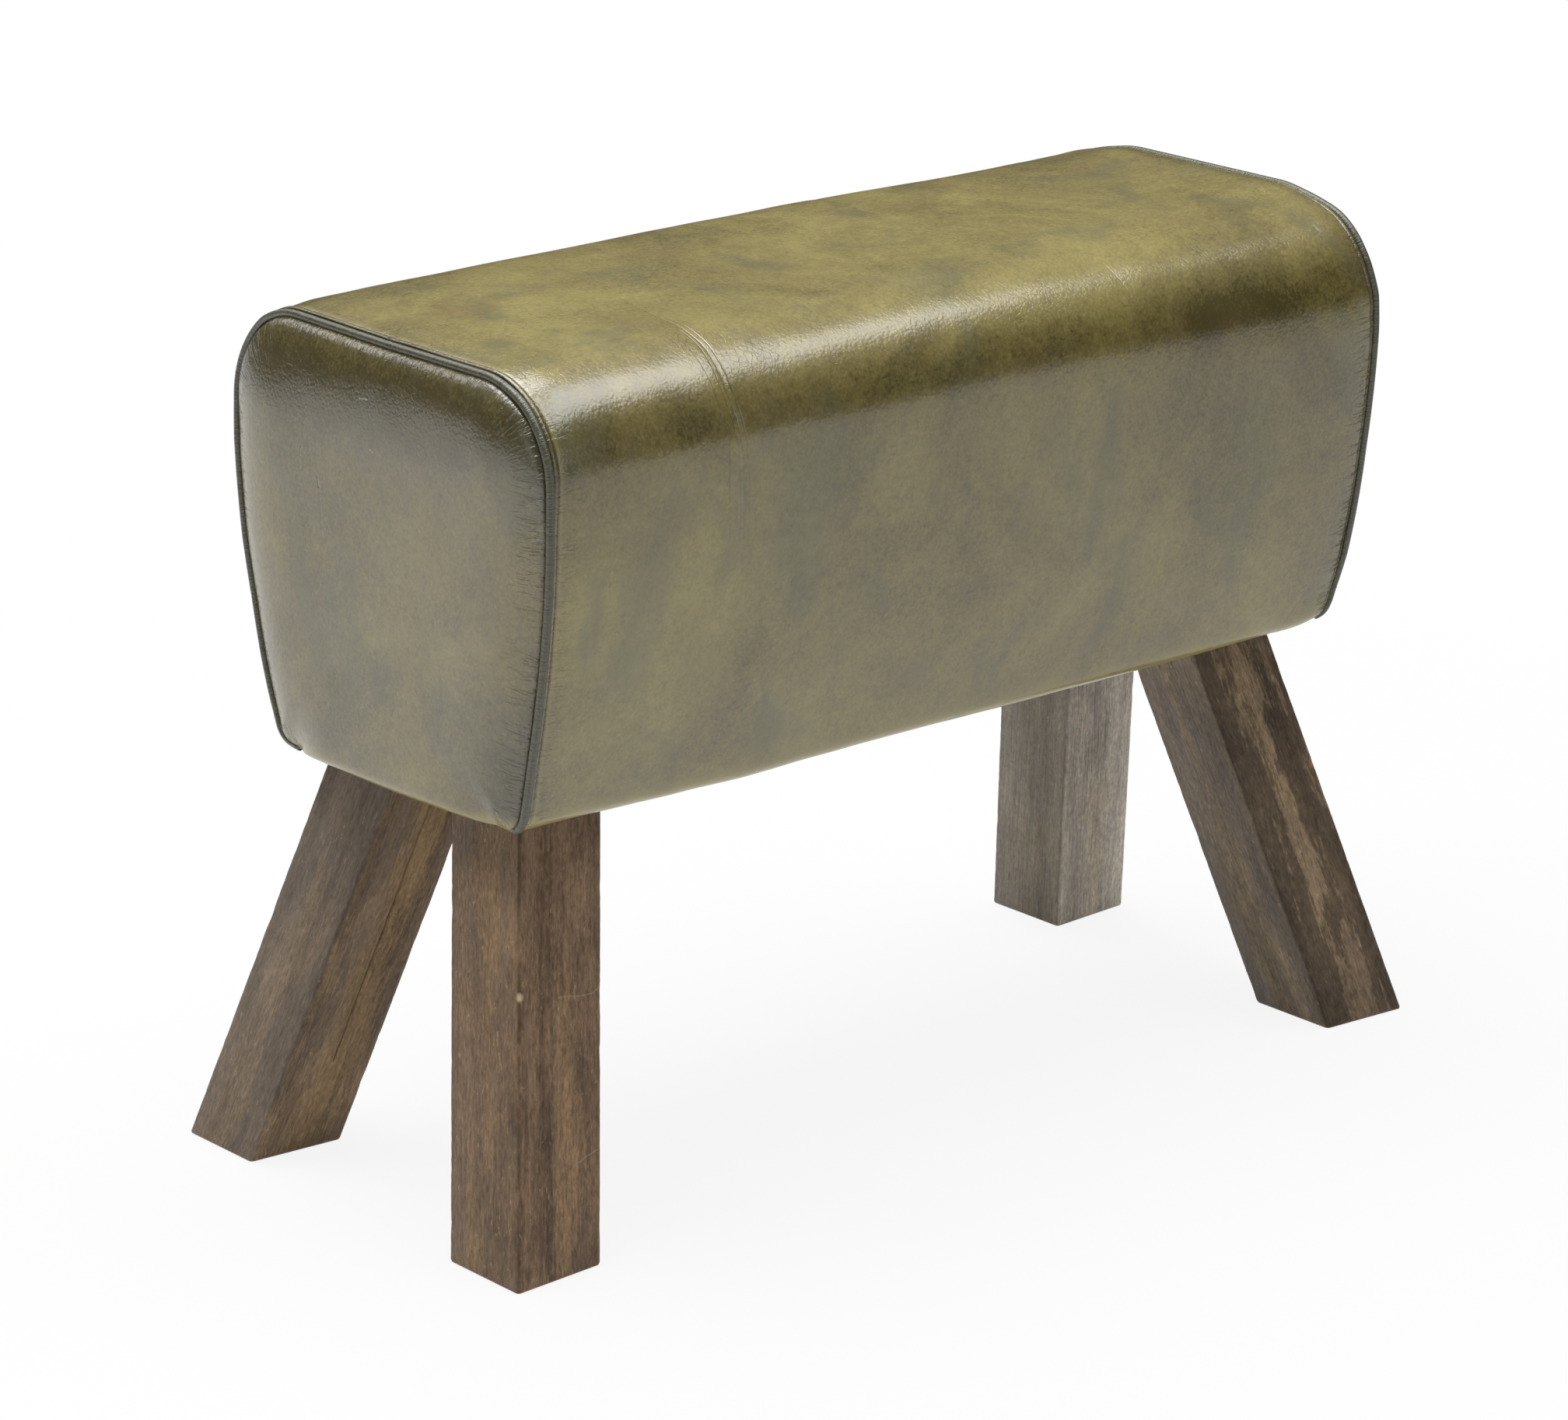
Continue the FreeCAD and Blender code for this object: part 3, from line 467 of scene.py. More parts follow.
def plywood(name, axis):
    """Birch plywood: pale figured faces, and thin brown glue lines along the edges."""
    material, tree, shader = new_material(name, Roughness=0.62)
    spot = object_spot(tree)
    stretched = add(tree, "ShaderNodeMapping", ("Vector", spot), ("Scale", (1.5, 22, 22)))
    figure = mottle(tree, stretched.outputs[0], 5.0, 6.0)
    veneer = ramp(tree, figure, (0.3, (0.56, 0.38, 0.20, 1)), (0.7, (0.72, 0.54, 0.33, 1)))
    depth = add(tree, "ShaderNodeSeparateXYZ", (0, spot)).outputs[axis]
    wave = sum_of(tree, "SINE", times(tree, depth, 2 * math.pi / PLY_PITCH))
    line = spread(tree, wave, 0.6, 0.9, 0.0, 0.55)
    normal = add(tree, "ShaderNodeNewGeometry").outputs["Normal"]
    facing = add(tree, "ShaderNodeSeparateXYZ", (0, normal)).outputs[axis]
    edge = sum_of(tree, "LESS_THAN", sum_of(tree, "ABSOLUTE", facing), 0.7)
    colour = mix(tree, times(tree, line, edge), veneer, (0.22, 0.12, 0.05, 1))
    tree.links.new(colour, shader.inputs["Base Color"])
    return material


flat_ply = plywood("plywood_flat", "Z")
side_ply = plywood("plywood_side", "Y")
cross_ply = plywood("plywood_cross", "X")

block_pine, tree, shader = new_material("block_pine", Roughness=0.7)
stretched = add(tree, "ShaderNodeMapping", ("Vector", object_spot(tree)), ("Scale", (0.1, 1, 1)))
figure = mottle(tree, stretched.outputs[0], 160.0, 3.0)
pine = ramp(tree, figure, (0.35, (0.52, 0.30, 0.12, 1)), (0.65, (0.74, 0.53, 0.29, 1)))
tree.links.new(pine, shader.inputs["Base Color"])

zinc, tree, shader = new_material("zinc_plate", Metallic=1.0, Roughness=0.38)
spangle = mottle(tree, object_spot(tree), 700.0, 2.0)
plate = ramp(tree, spangle, (0.0, (0.42, 0.43, 0.45, 1)), (1.0, (0.66, 0.67, 0.68, 1)))
tree.links.new(plate, shader.inputs["Base Color"])

finishes = {
    "base_board": flat_ply, "top_board": flat_ply,
    "side_board_back": side_ply, "side_board_front": side_ply,
    "end_board_left": cross_ply, "end_board_right": cross_ply, "centre_bulkhead": cross_ply,
    "leg_screws": zinc, "leg_washers": zinc,
}
finishes.update({name: block_pine for name in nodes if name.startswith("leg_block")})
for name, material in finishes.items():
    nodes[name].data.materials.clear()
    nodes[name].data.materials.append(material)


# ---- foam ----
# Cut pads of upholstery foam: a thick one on the lid, a lens on each side and a crowned pad at
# each end. They fill the cover, so they take its uneven form, and sink with the seam on the right.

LEATHER = 0.002
SEAT = 0.592
UNDERSIDE = 0.285
HALF_WIDTH = 0.1675
SHOULDER = 0.526
TOP_RADIUS = 0.066
SIDE_RADIUS = 0.720
FOOT_RADIUS = 0.014
HEM_EDGE = 0.1018
SEAM = 0.365
SEAM_SUNK = {-1: 0.0, 1: 0.0044}
SUNK_ABOVE = 0.035
ROLL_OFF = 0.014
PAD_SUNK = 1.6
RISE = [(-0.365, -0.0085), (-0.340, -0.0055), (-0.290, -0.0035), (-0.200, -0.0018), (-0.100, -0.0004),
        (0.000, 0.0006),
        (0.100, 0.0012), (0.200, 0.0012), (0.300, 0.0030), (0.330, 0.0056), (0.345, 0.0082), (0.365, 0.0100)]
LEFT_LEAN = [(0.300, 0.0060), (0.340, 0.0051), (0.380, 0.0052), (0.420, 0.0040), (0.490, 0.0043), (0.526, 0.0059),
             (0.575, 0.0093)]
FRONT_LEAN = [(0.300, 0.0055), (0.335, 0.0032), (0.375, 0.0020), (0.430, 0.0012), (0.475, 0.0005), (0.500, 0.0000)]
RIGHT_LEAN = [(0.285, 0.0010), (0.300, 0.0066), (0.318, 0.0100), (0.340, 0.0106), (0.380, 0.0095), (0.420, 0.0083),
              (0.480, 0.0090), (0.526, 0.0094), (0.545, 0.0068), (0.558, 0.0050), (0.575, 0.0038), (0.592, 0.0026)]
SHOULDERS = [(-0.340, 0.0000), (-0.275, 0.0010), (-0.170, 0.0015), (-0.090, 0.0020), (0.000, 0.0014),
             (0.070, 0.0013),
             (0.150, 0.0022), (0.230, 0.0031), (0.300, 0.0036), (0.340, 0.0052), (0.365, 0.0058)]
BELLY = [(-0.365, 0.0010), (-0.300, 0.0016), (-0.250, 0.0028), (-0.165, 0.0040), (-0.120, 0.0030), (-0.070, 0.0021),
         (0.100, 0.0021), (0.250, 0.0015), (0.340, 0.0000)]


def ease(value, low, high):
    """0 below low, 1 above high, and a smooth rise between them."""
    share = np.clip((value - low) / (high - low), 0, 1)
    return share * share * (3 - 2 * share)


def bell(value, centre, width):
    """1 at the centre, and a smooth fall to 0 on both sides."""
    return np.exp(-((value - centre) / width) ** 2)


def settle(points):
    """Moves the body's surface as the stuffing does: uneven along the top, with softer right corners."""
    x, y, z = points.T.copy()
    points[:, 2] += np.interp(x, *zip(*RISE)) * ease(z, 0.40, 0.58)
    slack = np.interp(x, *zip(*SHOULDERS)) * ease(np.abs(y), 0.070, 0.120) * ease(z, 0.495, 0.545)
    points[:, 2] -= slack
    points[:, 1] -= 0.5 * slack * np.sign(y)
    sagging = np.interp(x, *zip(*BELLY)) * ease(-z, -0.330, -0.290)
    points[:, 2] -= sagging * ease(np.abs(y), HEM_EDGE, HEM_EDGE + 0.012)
    back = np.clip(y / 0.12, 0, 1)
    corner = ease(np.abs(y), 0.095, 0.130)
    points[:, 2] += 0.010 * corner * np.clip((x - 0.335) / 0.045, 0, 1) ** 2 * ease(-z, -0.345, -0.285)
    points[:, 2] += 0.004 * corner * back * ease(-x, 0.335, 0.365) * ease(-z, -0.325, -0.290)
    left = back * np.interp(z, *zip(*LEFT_LEAN)) + (1 - back) * 0.0050
    left = left + ease(-y, 0.0, 0.13) * np.interp(z, *zip(*FRONT_LEAN))
    right = np.interp(z, *zip(*RIGHT_LEAN))
    points[:, 0] += left * np.clip((-0.22 - x) / 0.14, 0, 1) + right * np.clip((x - 0.22) / 0.14, 0, 1)
    return points


pad_foam, tree, shader = new_material("pad_foam", Roughness=0.95, Specular_IOR_Level=0.1)
cells = add(tree, "ShaderNodeTexVoronoi", ("Vector", object_spot(tree)), ("Scale", 900.0)).outputs["Distance"]
cream = ramp(tree, cells, (0.0, (0.62, 0.50, 0.24, 1)), (0.5, (0.80, 0.71, 0.44, 1)))
tree.links.new(cream, shader.inputs["Base Color"])
add_bump(tree, shader, cells, 0.5, 0.0005)

for node in ("top_foam", "side_foam_back", "side_foam_front"):
    bm = bmesh.new()
    bm.from_mesh(nodes[node].data)
    bmesh.ops.remove_doubles(bm, verts=bm.verts, dist=1e-5)
    for station in [*np.arange(-0.34, 0.341, 0.02), 0.347, 0.353, 0.358]:
        slice_at(bm, (station, 0, 0), (1, 0, 0))
    bm.normal_update()
    sunk = {}
    for v in bm.verts:
        out = Vector((0, v.normal.y, v.normal.z)).normalized()
        if v.normal.y * v.co.y > 0 or v.normal.z > 0.35:
            sunk[v] = out * PAD_SUNK * SEAM_SUNK[1] * math.exp((v.co.x - SEAM) / ROLL_OFF)
    for v in bm.verts:
        v.co = settle(np.array([(v.co - sunk.get(v, Vector()))[:]]))[0]
    pad = make_object(node + "_pad", bm, pad_foam, smooth=False)
    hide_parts(node)
    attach(pad, "root")


# ---- leather over the top and sides ----
# One hide, 2 mm thick, tight over the top and both sides, with its hems turned in under the base.
# It is dyed olive by hand and glazed: darker blotches, rubbed yellow edges, fine creases. Painted
# shade darkens bands under the shoulders, the seams and the creases, and a painted highlight adds to the yellow on
# the bottom edges.

def swing(bm, last, centre, degrees, steps):
    """Carries on the section from its last point, round a centre in the plane across the horse."""
    turned = bmesh.ops.spin(bm, geom=[last], cent=centre, axis=(1, 0, 0), angle=math.radians(degrees), steps=steps)
    return next(e for e in turned["geom_last"] if isinstance(e, BMVert))


def reach(bm, last, target, steps):
    """Carries on the section in a straight run to this point."""
    target = Vector(target)
    start = last.co.copy()
    for step in range(1, steps + 1):
        made = bmesh.ops.extrude_vert_indiv(bm, verts=[last])["verts"][0]
        made.co = start.lerp(target, step / steps)
        last = made
    return last


def cover_section(bm, x, inset=0.0):
    """The cover's half section at x: along the top, round the shoulder, down the side and under."""
    start = bm.verts.new((x, 0, SEAT - inset))
    last = reach(bm, start, (x, HALF_WIDTH - TOP_RADIUS, SEAT - inset), 25)
    last = swing(bm, last, (x, HALF_WIDTH - TOP_RADIUS, SHOULDER), -90, 26)
    foot_angle = math.asin((SHOULDER - UNDERSIDE - FOOT_RADIUS) / (SIDE_RADIUS - FOOT_RADIUS))
    last = swing(bm, last, (x, HALF_WIDTH - SIDE_RADIUS, SHOULDER), -math.degrees(foot_angle), 58)
    foot_y = HALF_WIDTH - SIDE_RADIUS + (SIDE_RADIUS - FOOT_RADIUS) * math.cos(foot_angle)
    last = swing(bm, last, (x, foot_y, UNDERSIDE + FOOT_RADIUS), math.degrees(foot_angle) - 90, 8)
    return reach(bm, last, (x, HEM_EDGE, last.co.z), 4)


def section_line(x, inset):
    """The points of the whole section at x, from one hem over the top to the other."""
    bm = bmesh.new()
    cover_section(bm, x, inset)
    half_line = np.array([v.co[:] for v in bm.verts])
    bm.free()
    return np.concatenate([half_line[::-1], half_line[1:] * (1, -1, 1)])


def seam_line(x, inset, side):
    """The section at x near an end seam, sunk as far as the seam is at that end."""
    plain, sunk = section_line(x, inset), section_line(x, inset + SEAM_SUNK[side])
    share = ease(plain[:, 2:], UNDERSIDE, UNDERSIDE + SUNK_ABOVE)
    return plain + share * (sunk - plain)


def smooth_noise(points, size, seed):
    """Soft noise from -1 to 1 at each point, with lumps of this size in metres."""
    shift = Vector((seed * 7.31, seed * 3.17, seed * 5.77))
    return np.array([noise.noise(Vector(p) / size + shift) for p in points])


def runs_of(line):
    """How far along the line each of its points lies."""
    return np.concatenate([[0], np.cumsum(np.linalg.norm(np.diff(line, axis=0), axis=1))])


def place_along(line, at):
    """The places this far along the line."""
    return np.stack([np.interp(at, runs_of(line), column) for column in line.T], -1)


def distance_to(points, line):
    """Each point's distance from a polyline, and how far along it the nearest place is (0 to 1)."""
    runs = np.linalg.norm(np.diff(line, axis=0), axis=1)
    starts = runs_of(line)
    best = np.full(len(points), 1e9)
    along = np.zeros(len(points))
    for a, b, run, begin in zip(line, line[1:], runs, starts):
        t = np.clip((points - a) @ (b - a) / run ** 2, 0, 1)
        d = np.linalg.norm(points - a - t[:, None] * (b - a), axis=1)
        near = d < best
        best[near] = d[near]
        along[near] = (begin + t[near] * run) / starts[-1]
    return best, along


def thicken(piece, thickness, offset):
    """Gives a sheet its thickness: inwards with offset -1, outwards with 1."""
    thick = piece.modifiers.new("thickness", "SOLIDIFY")
    thick.thickness = thickness
    thick.offset = offset
    bpy.context.view_layer.update()
    seen = piece.evaluated_get(bpy.context.evaluated_depsgraph_get())
    made = bpy.data.meshes.new_from_object(seen)
    piece.modifiers.clear()
    piece.data = made


def extrude(bm, edges, by=(0, 0, 0)):
    """Extrudes the edges this far, and gives the new edges and points."""
    made = bmesh.ops.extrude_edge_only(bm, edges=edges)["geom"]
    fresh = {v for v in made if isinstance(v, BMVert)}
    bmesh.ops.translate(bm, verts=list(fresh), vec=by)
    return [e for e in made if isinstance(e, BMEdge) and fresh.issuperset(e.verts)], fresh


def olive_hide(name, dark, middle, light):
    """Glazed, hand-dyed hide: pebbled grain, creases, dark blotches and worn yellow edges, with painted shade in
    dark bands, seams and creases, and a painted highlight on the bottom edges.
    """
    material, tree, shader = new_material(name, Coat_Weight=1.0, Coat_Roughness=0.22, Coat_IOR=1.95, IOR=1.45,
                                          Specular_IOR_Level=0.15)
    spot = object_spot(tree)
    stain_and_painted_shade = stored(tree, "stain_and_painted_shade")
    wear_and_painted_highlight = stored(tree, "wear_and_painted_highlight")
    seam = stored(tree, "seam", "Vector")
    from_seam = add(tree, "ShaderNodeSeparateXYZ", (0, seam)).outputs[1]

    blotch = mottle(tree, spot, 6.0, 6.0, 0.62, 0.6)
    cloud = mottle(tree, spot, 48.0, 7.0, 0.68, 0.3)
    speck = mottle(tree, spot, 520.0, 3.0, 0.7)
    pebble = add(tree, "ShaderNodeTexVoronoi", ("Vector", spot), ("Scale", 430.0), ("Smoothness", 0.35),
                 feature="SMOOTH_F1").outputs["Distance"]
    fold = mottle(tree, spot, 210.0, 4.0, 0.62, 0.2)

    drift = add(tree, "ShaderNodeTexNoise", ("Vector", spot), ("Scale", 60.0), ("Detail", 4.0))
    wander = vector_of(tree, "MULTIPLY_ADD", (0, drift.outputs["Color"]), (1, (0.010, 0.010, 0.010)), (2, spot))
    net = add(tree, "ShaderNodeTexVoronoi", ("Vector", wander), ("Scale", 180.0),
              feature="DISTANCE_TO_EDGE").outputs["Distance"]
    slit = spread(tree, net, 0.0, 0.075, 1.0, 0.0, smooth=True)
    creased = spread(tree, mottle(tree, spot, 16.0, 3.0), 0.42, 0.62, smooth=True)
    along_x, _, up_z = add(tree, "ShaderNodeSeparateXYZ", (0, spot)).outputs
    on_top = spread(tree, up_z, 0.50, 0.56, 0.30, 1.0)
    crease = times(tree, slit, times(tree, creased, on_top))

    drawn = add(tree, "ShaderNodeMapping", ("Vector", seam), ("Scale", (1, 0.16, 1)))
    gathers = mottle(tree, drawn.outputs[0], 300.0, 3.0, 0.6, 0.6)
    gathers = spread(tree, gathers, 0.50, 0.63, 0.0, -1.0, smooth=True)
    reach_in = sum_of(tree, "MULTIPLY_ADD", cloud, 0.055, 0.003)
    gathered = spread(tree, from_seam, 0.001, reach_in, 1.0, 0.0, smooth=True)
    off_end = spread(tree, sum_of(tree, "ABSOLUTE", along_x), 0.352, 0.362, 1.0, 0.45)
    weaker = sum_of(tree, "SUBTRACT", 1.25, times(tree, on_top, off_end))
    gathered = times(tree, gathered, weaker)
    gathers = times(tree, gathers, gathered)

    crossing = stored(tree, "crossing", "Vector")
    off_crease, across, beside = add(tree, "ShaderNodeSeparateXYZ", (0, crossing)).outputs
    off_crease = sum_of(tree, "MULTIPLY_ADD", cloud, 0.003, off_crease)
    furrows = 0.0
    for offset, width, strength in ((0.0, 0.0011, across), (0.0040, 0.0009, beside), (-0.0034, 0.0008, beside)):
        away = sum_of(tree, "ABSOLUTE", sum_of(tree, "SUBTRACT", off_crease, offset + 0.0015))
        furrow = spread(tree, away, 0.0, width, 1.0, 0.0, smooth=True)
        furrows = sum_of(tree, "MULTIPLY_ADD", furrow, strength, furrows)

    on_end = vector_of(tree, "MULTIPLY", (0, spot), (1, (PANEL_FLAT, 1, 1)))
    nicks = [((PANEL_AT, *start), (PANEL_AT, *end)) for start, end in NICKS]
    nicked = off_lines(tree, on_end, nicks)
    nicked = sum_of(tree, "MULTIPLY_ADD", cloud, 0.0010, nicked)
    nicked = spread(tree, nicked, 0.0006, 0.0013, 1.0, 0.0)
    nicked = times(tree, nicked, spread(tree, speck, 0.44, 0.56))
    for start, end, strength in END_CREASES:
        away = off_line(tree, on_end, (PANEL_AT, *start), (PANEL_AT, *end))
        furrow = spread(tree, away, 0.0, 0.0012, strength, 0.0, smooth=True)
        furrows = sum_of(tree, "ADD", furrow, furrows)

    # Painted shade: the crease net and the furrows darken the dye along the creases, and the stain and painted
    # shade attribute darkens it where it is set.
    depth = weighted(tree, (cloud, 0.18), (blotch, 0.84), (speck, 0.26), (stain_and_painted_shade, -0.30), (crease, -0.08),
                     (furrows, -0.07))
    depth = sum_of(tree, "MULTIPLY_ADD", fold, 0.26, sum_of(tree, "SUBTRACT", depth, 0.26))
    depth = sum_of(tree, "MULTIPLY_ADD", pebble, -0.12, depth)
    dye = ramp(tree, depth, (0.20, dark), (0.42, middle), (0.62, light))
    shifted = add(tree, "ShaderNodeMapping", ("Vector", spot), ("Location", (3.1, 1.7, 0.4)))
    rust = spread(tree, mottle(tree, shifted.outputs[0], 13.0, 5.0, 0.6), 0.50, 0.75, 0.0, 0.42)
    browned = mix(tree, rust, dye, (0.185, 0.125, 0.048, 1))
    upright = add(tree, "ShaderNodeMapping", ("Vector", spot), ("Location", (1.3, 0.2, 2.2)),
                  ("Scale", (1.0, 1.0, 0.55)))
    cool = mottle(tree, upright.outputs[0], 15.0, 5.0, 0.55, 0.5)
    cool = spread(tree, cool, 0.50, 0.70, 0.0, 0.50, smooth=True)
    cooled = mix(tree, cool, browned, (0.120, 0.122, 0.062, 1))
    # Yellow wear on the edges, and a painted highlight along the bottom edges.
    rubbed = times(tree, wear_and_painted_highlight, sum_of(tree, "ADD", cloud, 0.25), clamp=True)
    colour = mix(tree, rubbed, cooled, (0.38, 0.31, 0.10, 1))
    colour = mix(tree, nicked, colour, (0.62, 0.58, 0.46, 1))
    tree.links.new(colour, shader.inputs["Base Color"])
    tree.links.new(spread(tree, cloud, 0.3, 0.7, 0.40, 0.58), shader.inputs["Roughness"])

    relief = weighted(tree, (pebble, -0.24), (fold, 0.40), (crease, -0.13), (furrows, -0.75), (speck, 0.14),
                      (gathers, 0.9))
    add_bump(tree, shader, relief, 1.0, 0.0004, coat=True)
    return material


PANEL_FLAT = 0.05
PANEL_AT = -0.378 * PANEL_FLAT
NICKS = [((0.0115, 0.5459), (0.0040, 0.5464)), ((0.0001, 0.5146), (-0.0032, 0.5132))]
END_CREASES = [((0.0717, 0.5097), (0.0784, 0.4917), 0.5),
               ((0.0573, 0.4857), (0.0567, 0.4785), 0.9),
               ((0.0557, 0.4819), (0.0548, 0.4613), 0.35),
               ((0.0548, 0.4613), (0.0538, 0.4406), 0.35)]

aged_leather = olive_hide("aged_leather", (0.080, 0.062, 0.012, 1), (0.225, 0.181, 0.050, 1),
                          (0.345, 0.290, 0.088, 1))

CREASES = [
    ([(0.017, -0.189), (0.086, -0.206), (0.134, -0.209), (0.171, -0.211), (0.207, -0.206), (0.243, -0.204),
      (0.274, -0.203)], -1, 0.010, 0.290, 0.8, 0.7),
    ([(0.277, 0.253), (0.335, 0.260), (0.376, 0.259), (0.413, 0.266)], -1, 0.240, 0.440, 0.40, 0.3),
    ([(0.420, 0.330), (0.431, 0.324), (0.446, 0.320)], -1, 0.400, 0.480, 1.0, 0.0),
    ([(0.134, 0.138), (0.160, 0.144)], -1, 0.110, 0.190, 0.25, 0.0),
    ([(0.060, 0.090), (0.150, 0.104), (0.260, 0.098)], 1, 0.030, 0.270, 0.7, 0.5),
    ([(0.250, -0.160), (0.390, -0.171)], 1, 0.240, 0.400, 0.4, 0.0),
]

WRAP_SHORT = 0.0026
GROOVE_LOW = 0.0028
GROOVE_HIGH = 0.0041
GROOVE_WIDE = 0.0007
SHOULDER_BAND = (0.49, 0.545)
DENSE_FROM, DENSE_TO, DENSE_STEP = -0.2145, -0.1830, 0.0014

half = SEAM - WRAP_SHORT
bm = bmesh.new()
cover_section(bm, -half)
bmesh.ops.mirror(bm, geom=bm.verts[:] + bm.edges[:], axis="Y", merge_dist=1e-5)
bmesh.ops.remove_doubles(bm, verts=bm.verts, dist=1e-5)
near_seam = [0, 0.0006, 0.0012, 0.0018, 0.0024, 0.0030, 0.0036, 0.0041, 0.0046, 0.0052, 0.0060, 0.0075, 0.0100,
             0.0135, 0.0180, 0.0235]
middle = np.linspace(-half + near_seam[-1], half - near_seam[-1], 172)
dense = np.arange(DENSE_FROM, DENSE_TO, DENSE_STEP)
middle = np.concatenate([middle[middle < DENSE_FROM - 0.001], dense, middle[middle > DENSE_TO + 0.001]])
stations = [-half + t for t in near_seam[:-1]] + list(middle) + [half - t for t in reversed(near_seam[:-1])]
edges = bm.edges[:]
for before, after in zip(stations, stations[1:]):
    edges, _ = extrude(bm, edges, (after - before, 0, 0))
bmesh.ops.recalc_face_normals(bm, faces=bm.faces[:])
wrap = make_object("leather_over_top", bm, aged_leather)
mesh = wrap.data
flat = points_of(mesh)
normal = points_of(mesh, "normal")
if normal[np.argmax(flat[:, 2])][2] < 0:
    mesh.flip_normals()
    normal = -normal
x, y, z = flat.T
to_seam = half - np.abs(x)
above = np.clip((z - 0.30) / 0.05, 0, 1)
fullness = 0.0004 * (1 - np.exp(-to_seam / 0.050)) - 0.0008 * np.exp(-to_seam / 0.010)
right_end = x > 0
rolled = SEAM_SUNK[1] * right_end * np.exp(-to_seam / ROLL_OFF) * ease(z, UNDERSIDE, UNDERSIDE + SUNK_ABOVE)
lip = (0.0013 - 0.0010 * right_end) * np.exp(-((to_seam - 0.0017) / 0.0016) ** 4)
high = ease(z, *SHOULDER_BAND)
lip *= 0.35 + 0.65 * high
groove_at = GROOVE_LOW + (GROOVE_HIGH - GROOVE_LOW) * high
groove = (0.0006 * right_end - 0.0009 - 0.0004 * high) * bell(to_seam, groove_at, GROOVE_WIDE)
flat_half = HALF_WIDTH - TOP_RADIUS
around = np.arctan2(np.abs(y) - HALF_WIDTH + TOP_RADIUS, np.maximum(z - SHOULDER, 0))
girth = np.where(z > SEAT - 0.0005, np.abs(y), flat_half + TOP_RADIUS * around)
girth += np.maximum(SHOULDER - z, 0)
crossing = np.zeros((len(flat), 3))
crossing[:, 0] = 0.05
for places, sign, low, high, strength, beside in CREASES:
    away = x - np.interp(girth, *zip(*places))
    share = ease(girth, low, low + 0.03) * ease(-girth, -high, 0.03 - high)
    share = share * (0.75 + 0.5 * ease(-np.abs(girth - 0.16), -0.10, 0))
    here = (np.abs(away) < 0.012) & (y * sign > -1e-6) & (share > 0)
    crease = np.stack([away, strength * share, beside * share * ease(girth, low + 0.04, low + 0.11)], 1)
    crossing[here] = crease[here]
furrow = 0.0005 * crossing[:, 1] * bell(crossing[:, 0], 0, 0.0035)
swell = fullness * above - rolled + lip + groove - furrow
swell += 0.0006 * smooth_noise(flat, 0.11, 1) * above + 0.00035 * smooth_noise(flat, 0.035, 2)
shaped = settle(flat + normal * swell[:, None])
mesh.vertices.foreach_set("co", shaped.astype(np.float32).ravel())
mesh.update()
run = np.abs(np.arctan2(y, z - 0.40)) * 0.17
store(mesh, "crossing", crossing)
store(mesh, "seam", np.stack([run + 2 * (y > 0) + 5 * (x > 0), to_seam, 0 * run], 1))
# Painted shade, with some stain: darker in the band under the top shoulder, standing for the dark band the glaze
# reflects there, on the right half of the side, beside each seam and in the stitch groove.
ridge = bell(z, 0.545, 0.020) * (0.50 + 0.13 * np.clip(x / 0.3, -1, 1) - 0.25 * ease(x, 0.25, 0.35))
ridge += 0.16 * ease(x, 0.08, 0.24) * ease(z, 0.36, 0.42) * ease(-z, -0.53, -0.49)
at_groove = 0.9 * bell(to_seam, groove_at, 0.0009)
store(mesh, "stain_and_painted_shade", ridge + 0.4 * np.exp(-to_seam / 0.012) + at_groove)
# Wear and painted highlight: the bottom edge, where the hide rounds under towards the floor, is painted yellow as
# wear and as its highlight; the line beside the left groove is wear.
hem_edge = bell(z, UNDERSIDE, 0.007) + 0.35 * bell(z, UNDERSIDE, 0.016)
hem_edge *= ease(np.abs(y), HEM_EDGE + 0.004, HEM_EDGE + 0.018)
beside_groove = bell(to_seam - groove_at, 0.0024, 0.0018)
store(mesh, "wear_and_painted_highlight", 1.3 * hem_edge + 0.5 * (1 - right_end) * beside_groove)
thicken(wrap, LEATHER, -1)
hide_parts("leather_wrap")
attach(wrap, "root")


# ---- leather end panels ----
# A crowned panel closes each end, sewn to the cover with the piping in the seam. Its bottom edge
# rolls under the base and its tongue is stapled there.

SEAM_INSET = 0.0035
SEAM_STEP = 0.0008
PANEL_ROLL = 0.014
ROLL_OUT = 0.0175
CROWN_OUT = 0.0145
CROWN_WIDE = 0.062
CORNER_RUN = 0.155
TONGUE_END = 0.3416
TONGUE_STEPS = 5
PAD_INSET = 0.004
PAD_BEHIND = 0.0035
END_BOARD_FACE = 0.3521


def stretched_grid(outline, rows=84, columns=80):
    """A grid stretched to fill the outline, its top corners half way round the shoulders."""
    length = runs_of(outline)[-1]
    side_run = length / 2 - CORNER_RUN
    bm = bmesh.new()
    bmesh.ops.create_grid(bm, x_segments=columns, y_segments=rows, size=0.5)
    u, v = np.array([vert.co[:2] for vert in bm.verts]).T[:, :, None] + 0.5
    left = place_along(outline, v[:, 0] * side_run)
    top = place_along(outline, side_run + u[:, 0] * (length - 2 * side_run))
    first, final = outline[0], outline[-1]
    corner = place_along(outline, side_run)
    far_corner = corner * (1, -1, 1)
    right = left * (1, -1, 1)
    bottom = first + u * (final - first)
    places = (1 - u) * left + u * right + (1 - v) * bottom + v * top
    places -= (1 - u) * (1 - v) * first + u * (1 - v) * final + (1 - u) * v * corner + u * v * far_corner
    for vert, place in zip(bm.verts, places):
        vert.co = place
    inside = [vert for vert in bm.verts if not vert.is_boundary]
    for _ in range(30):
        bmesh.ops.smooth_vert(bm, verts=inside, factor=0.5, use_axis_y=True, use_axis_z=True)
    return bm


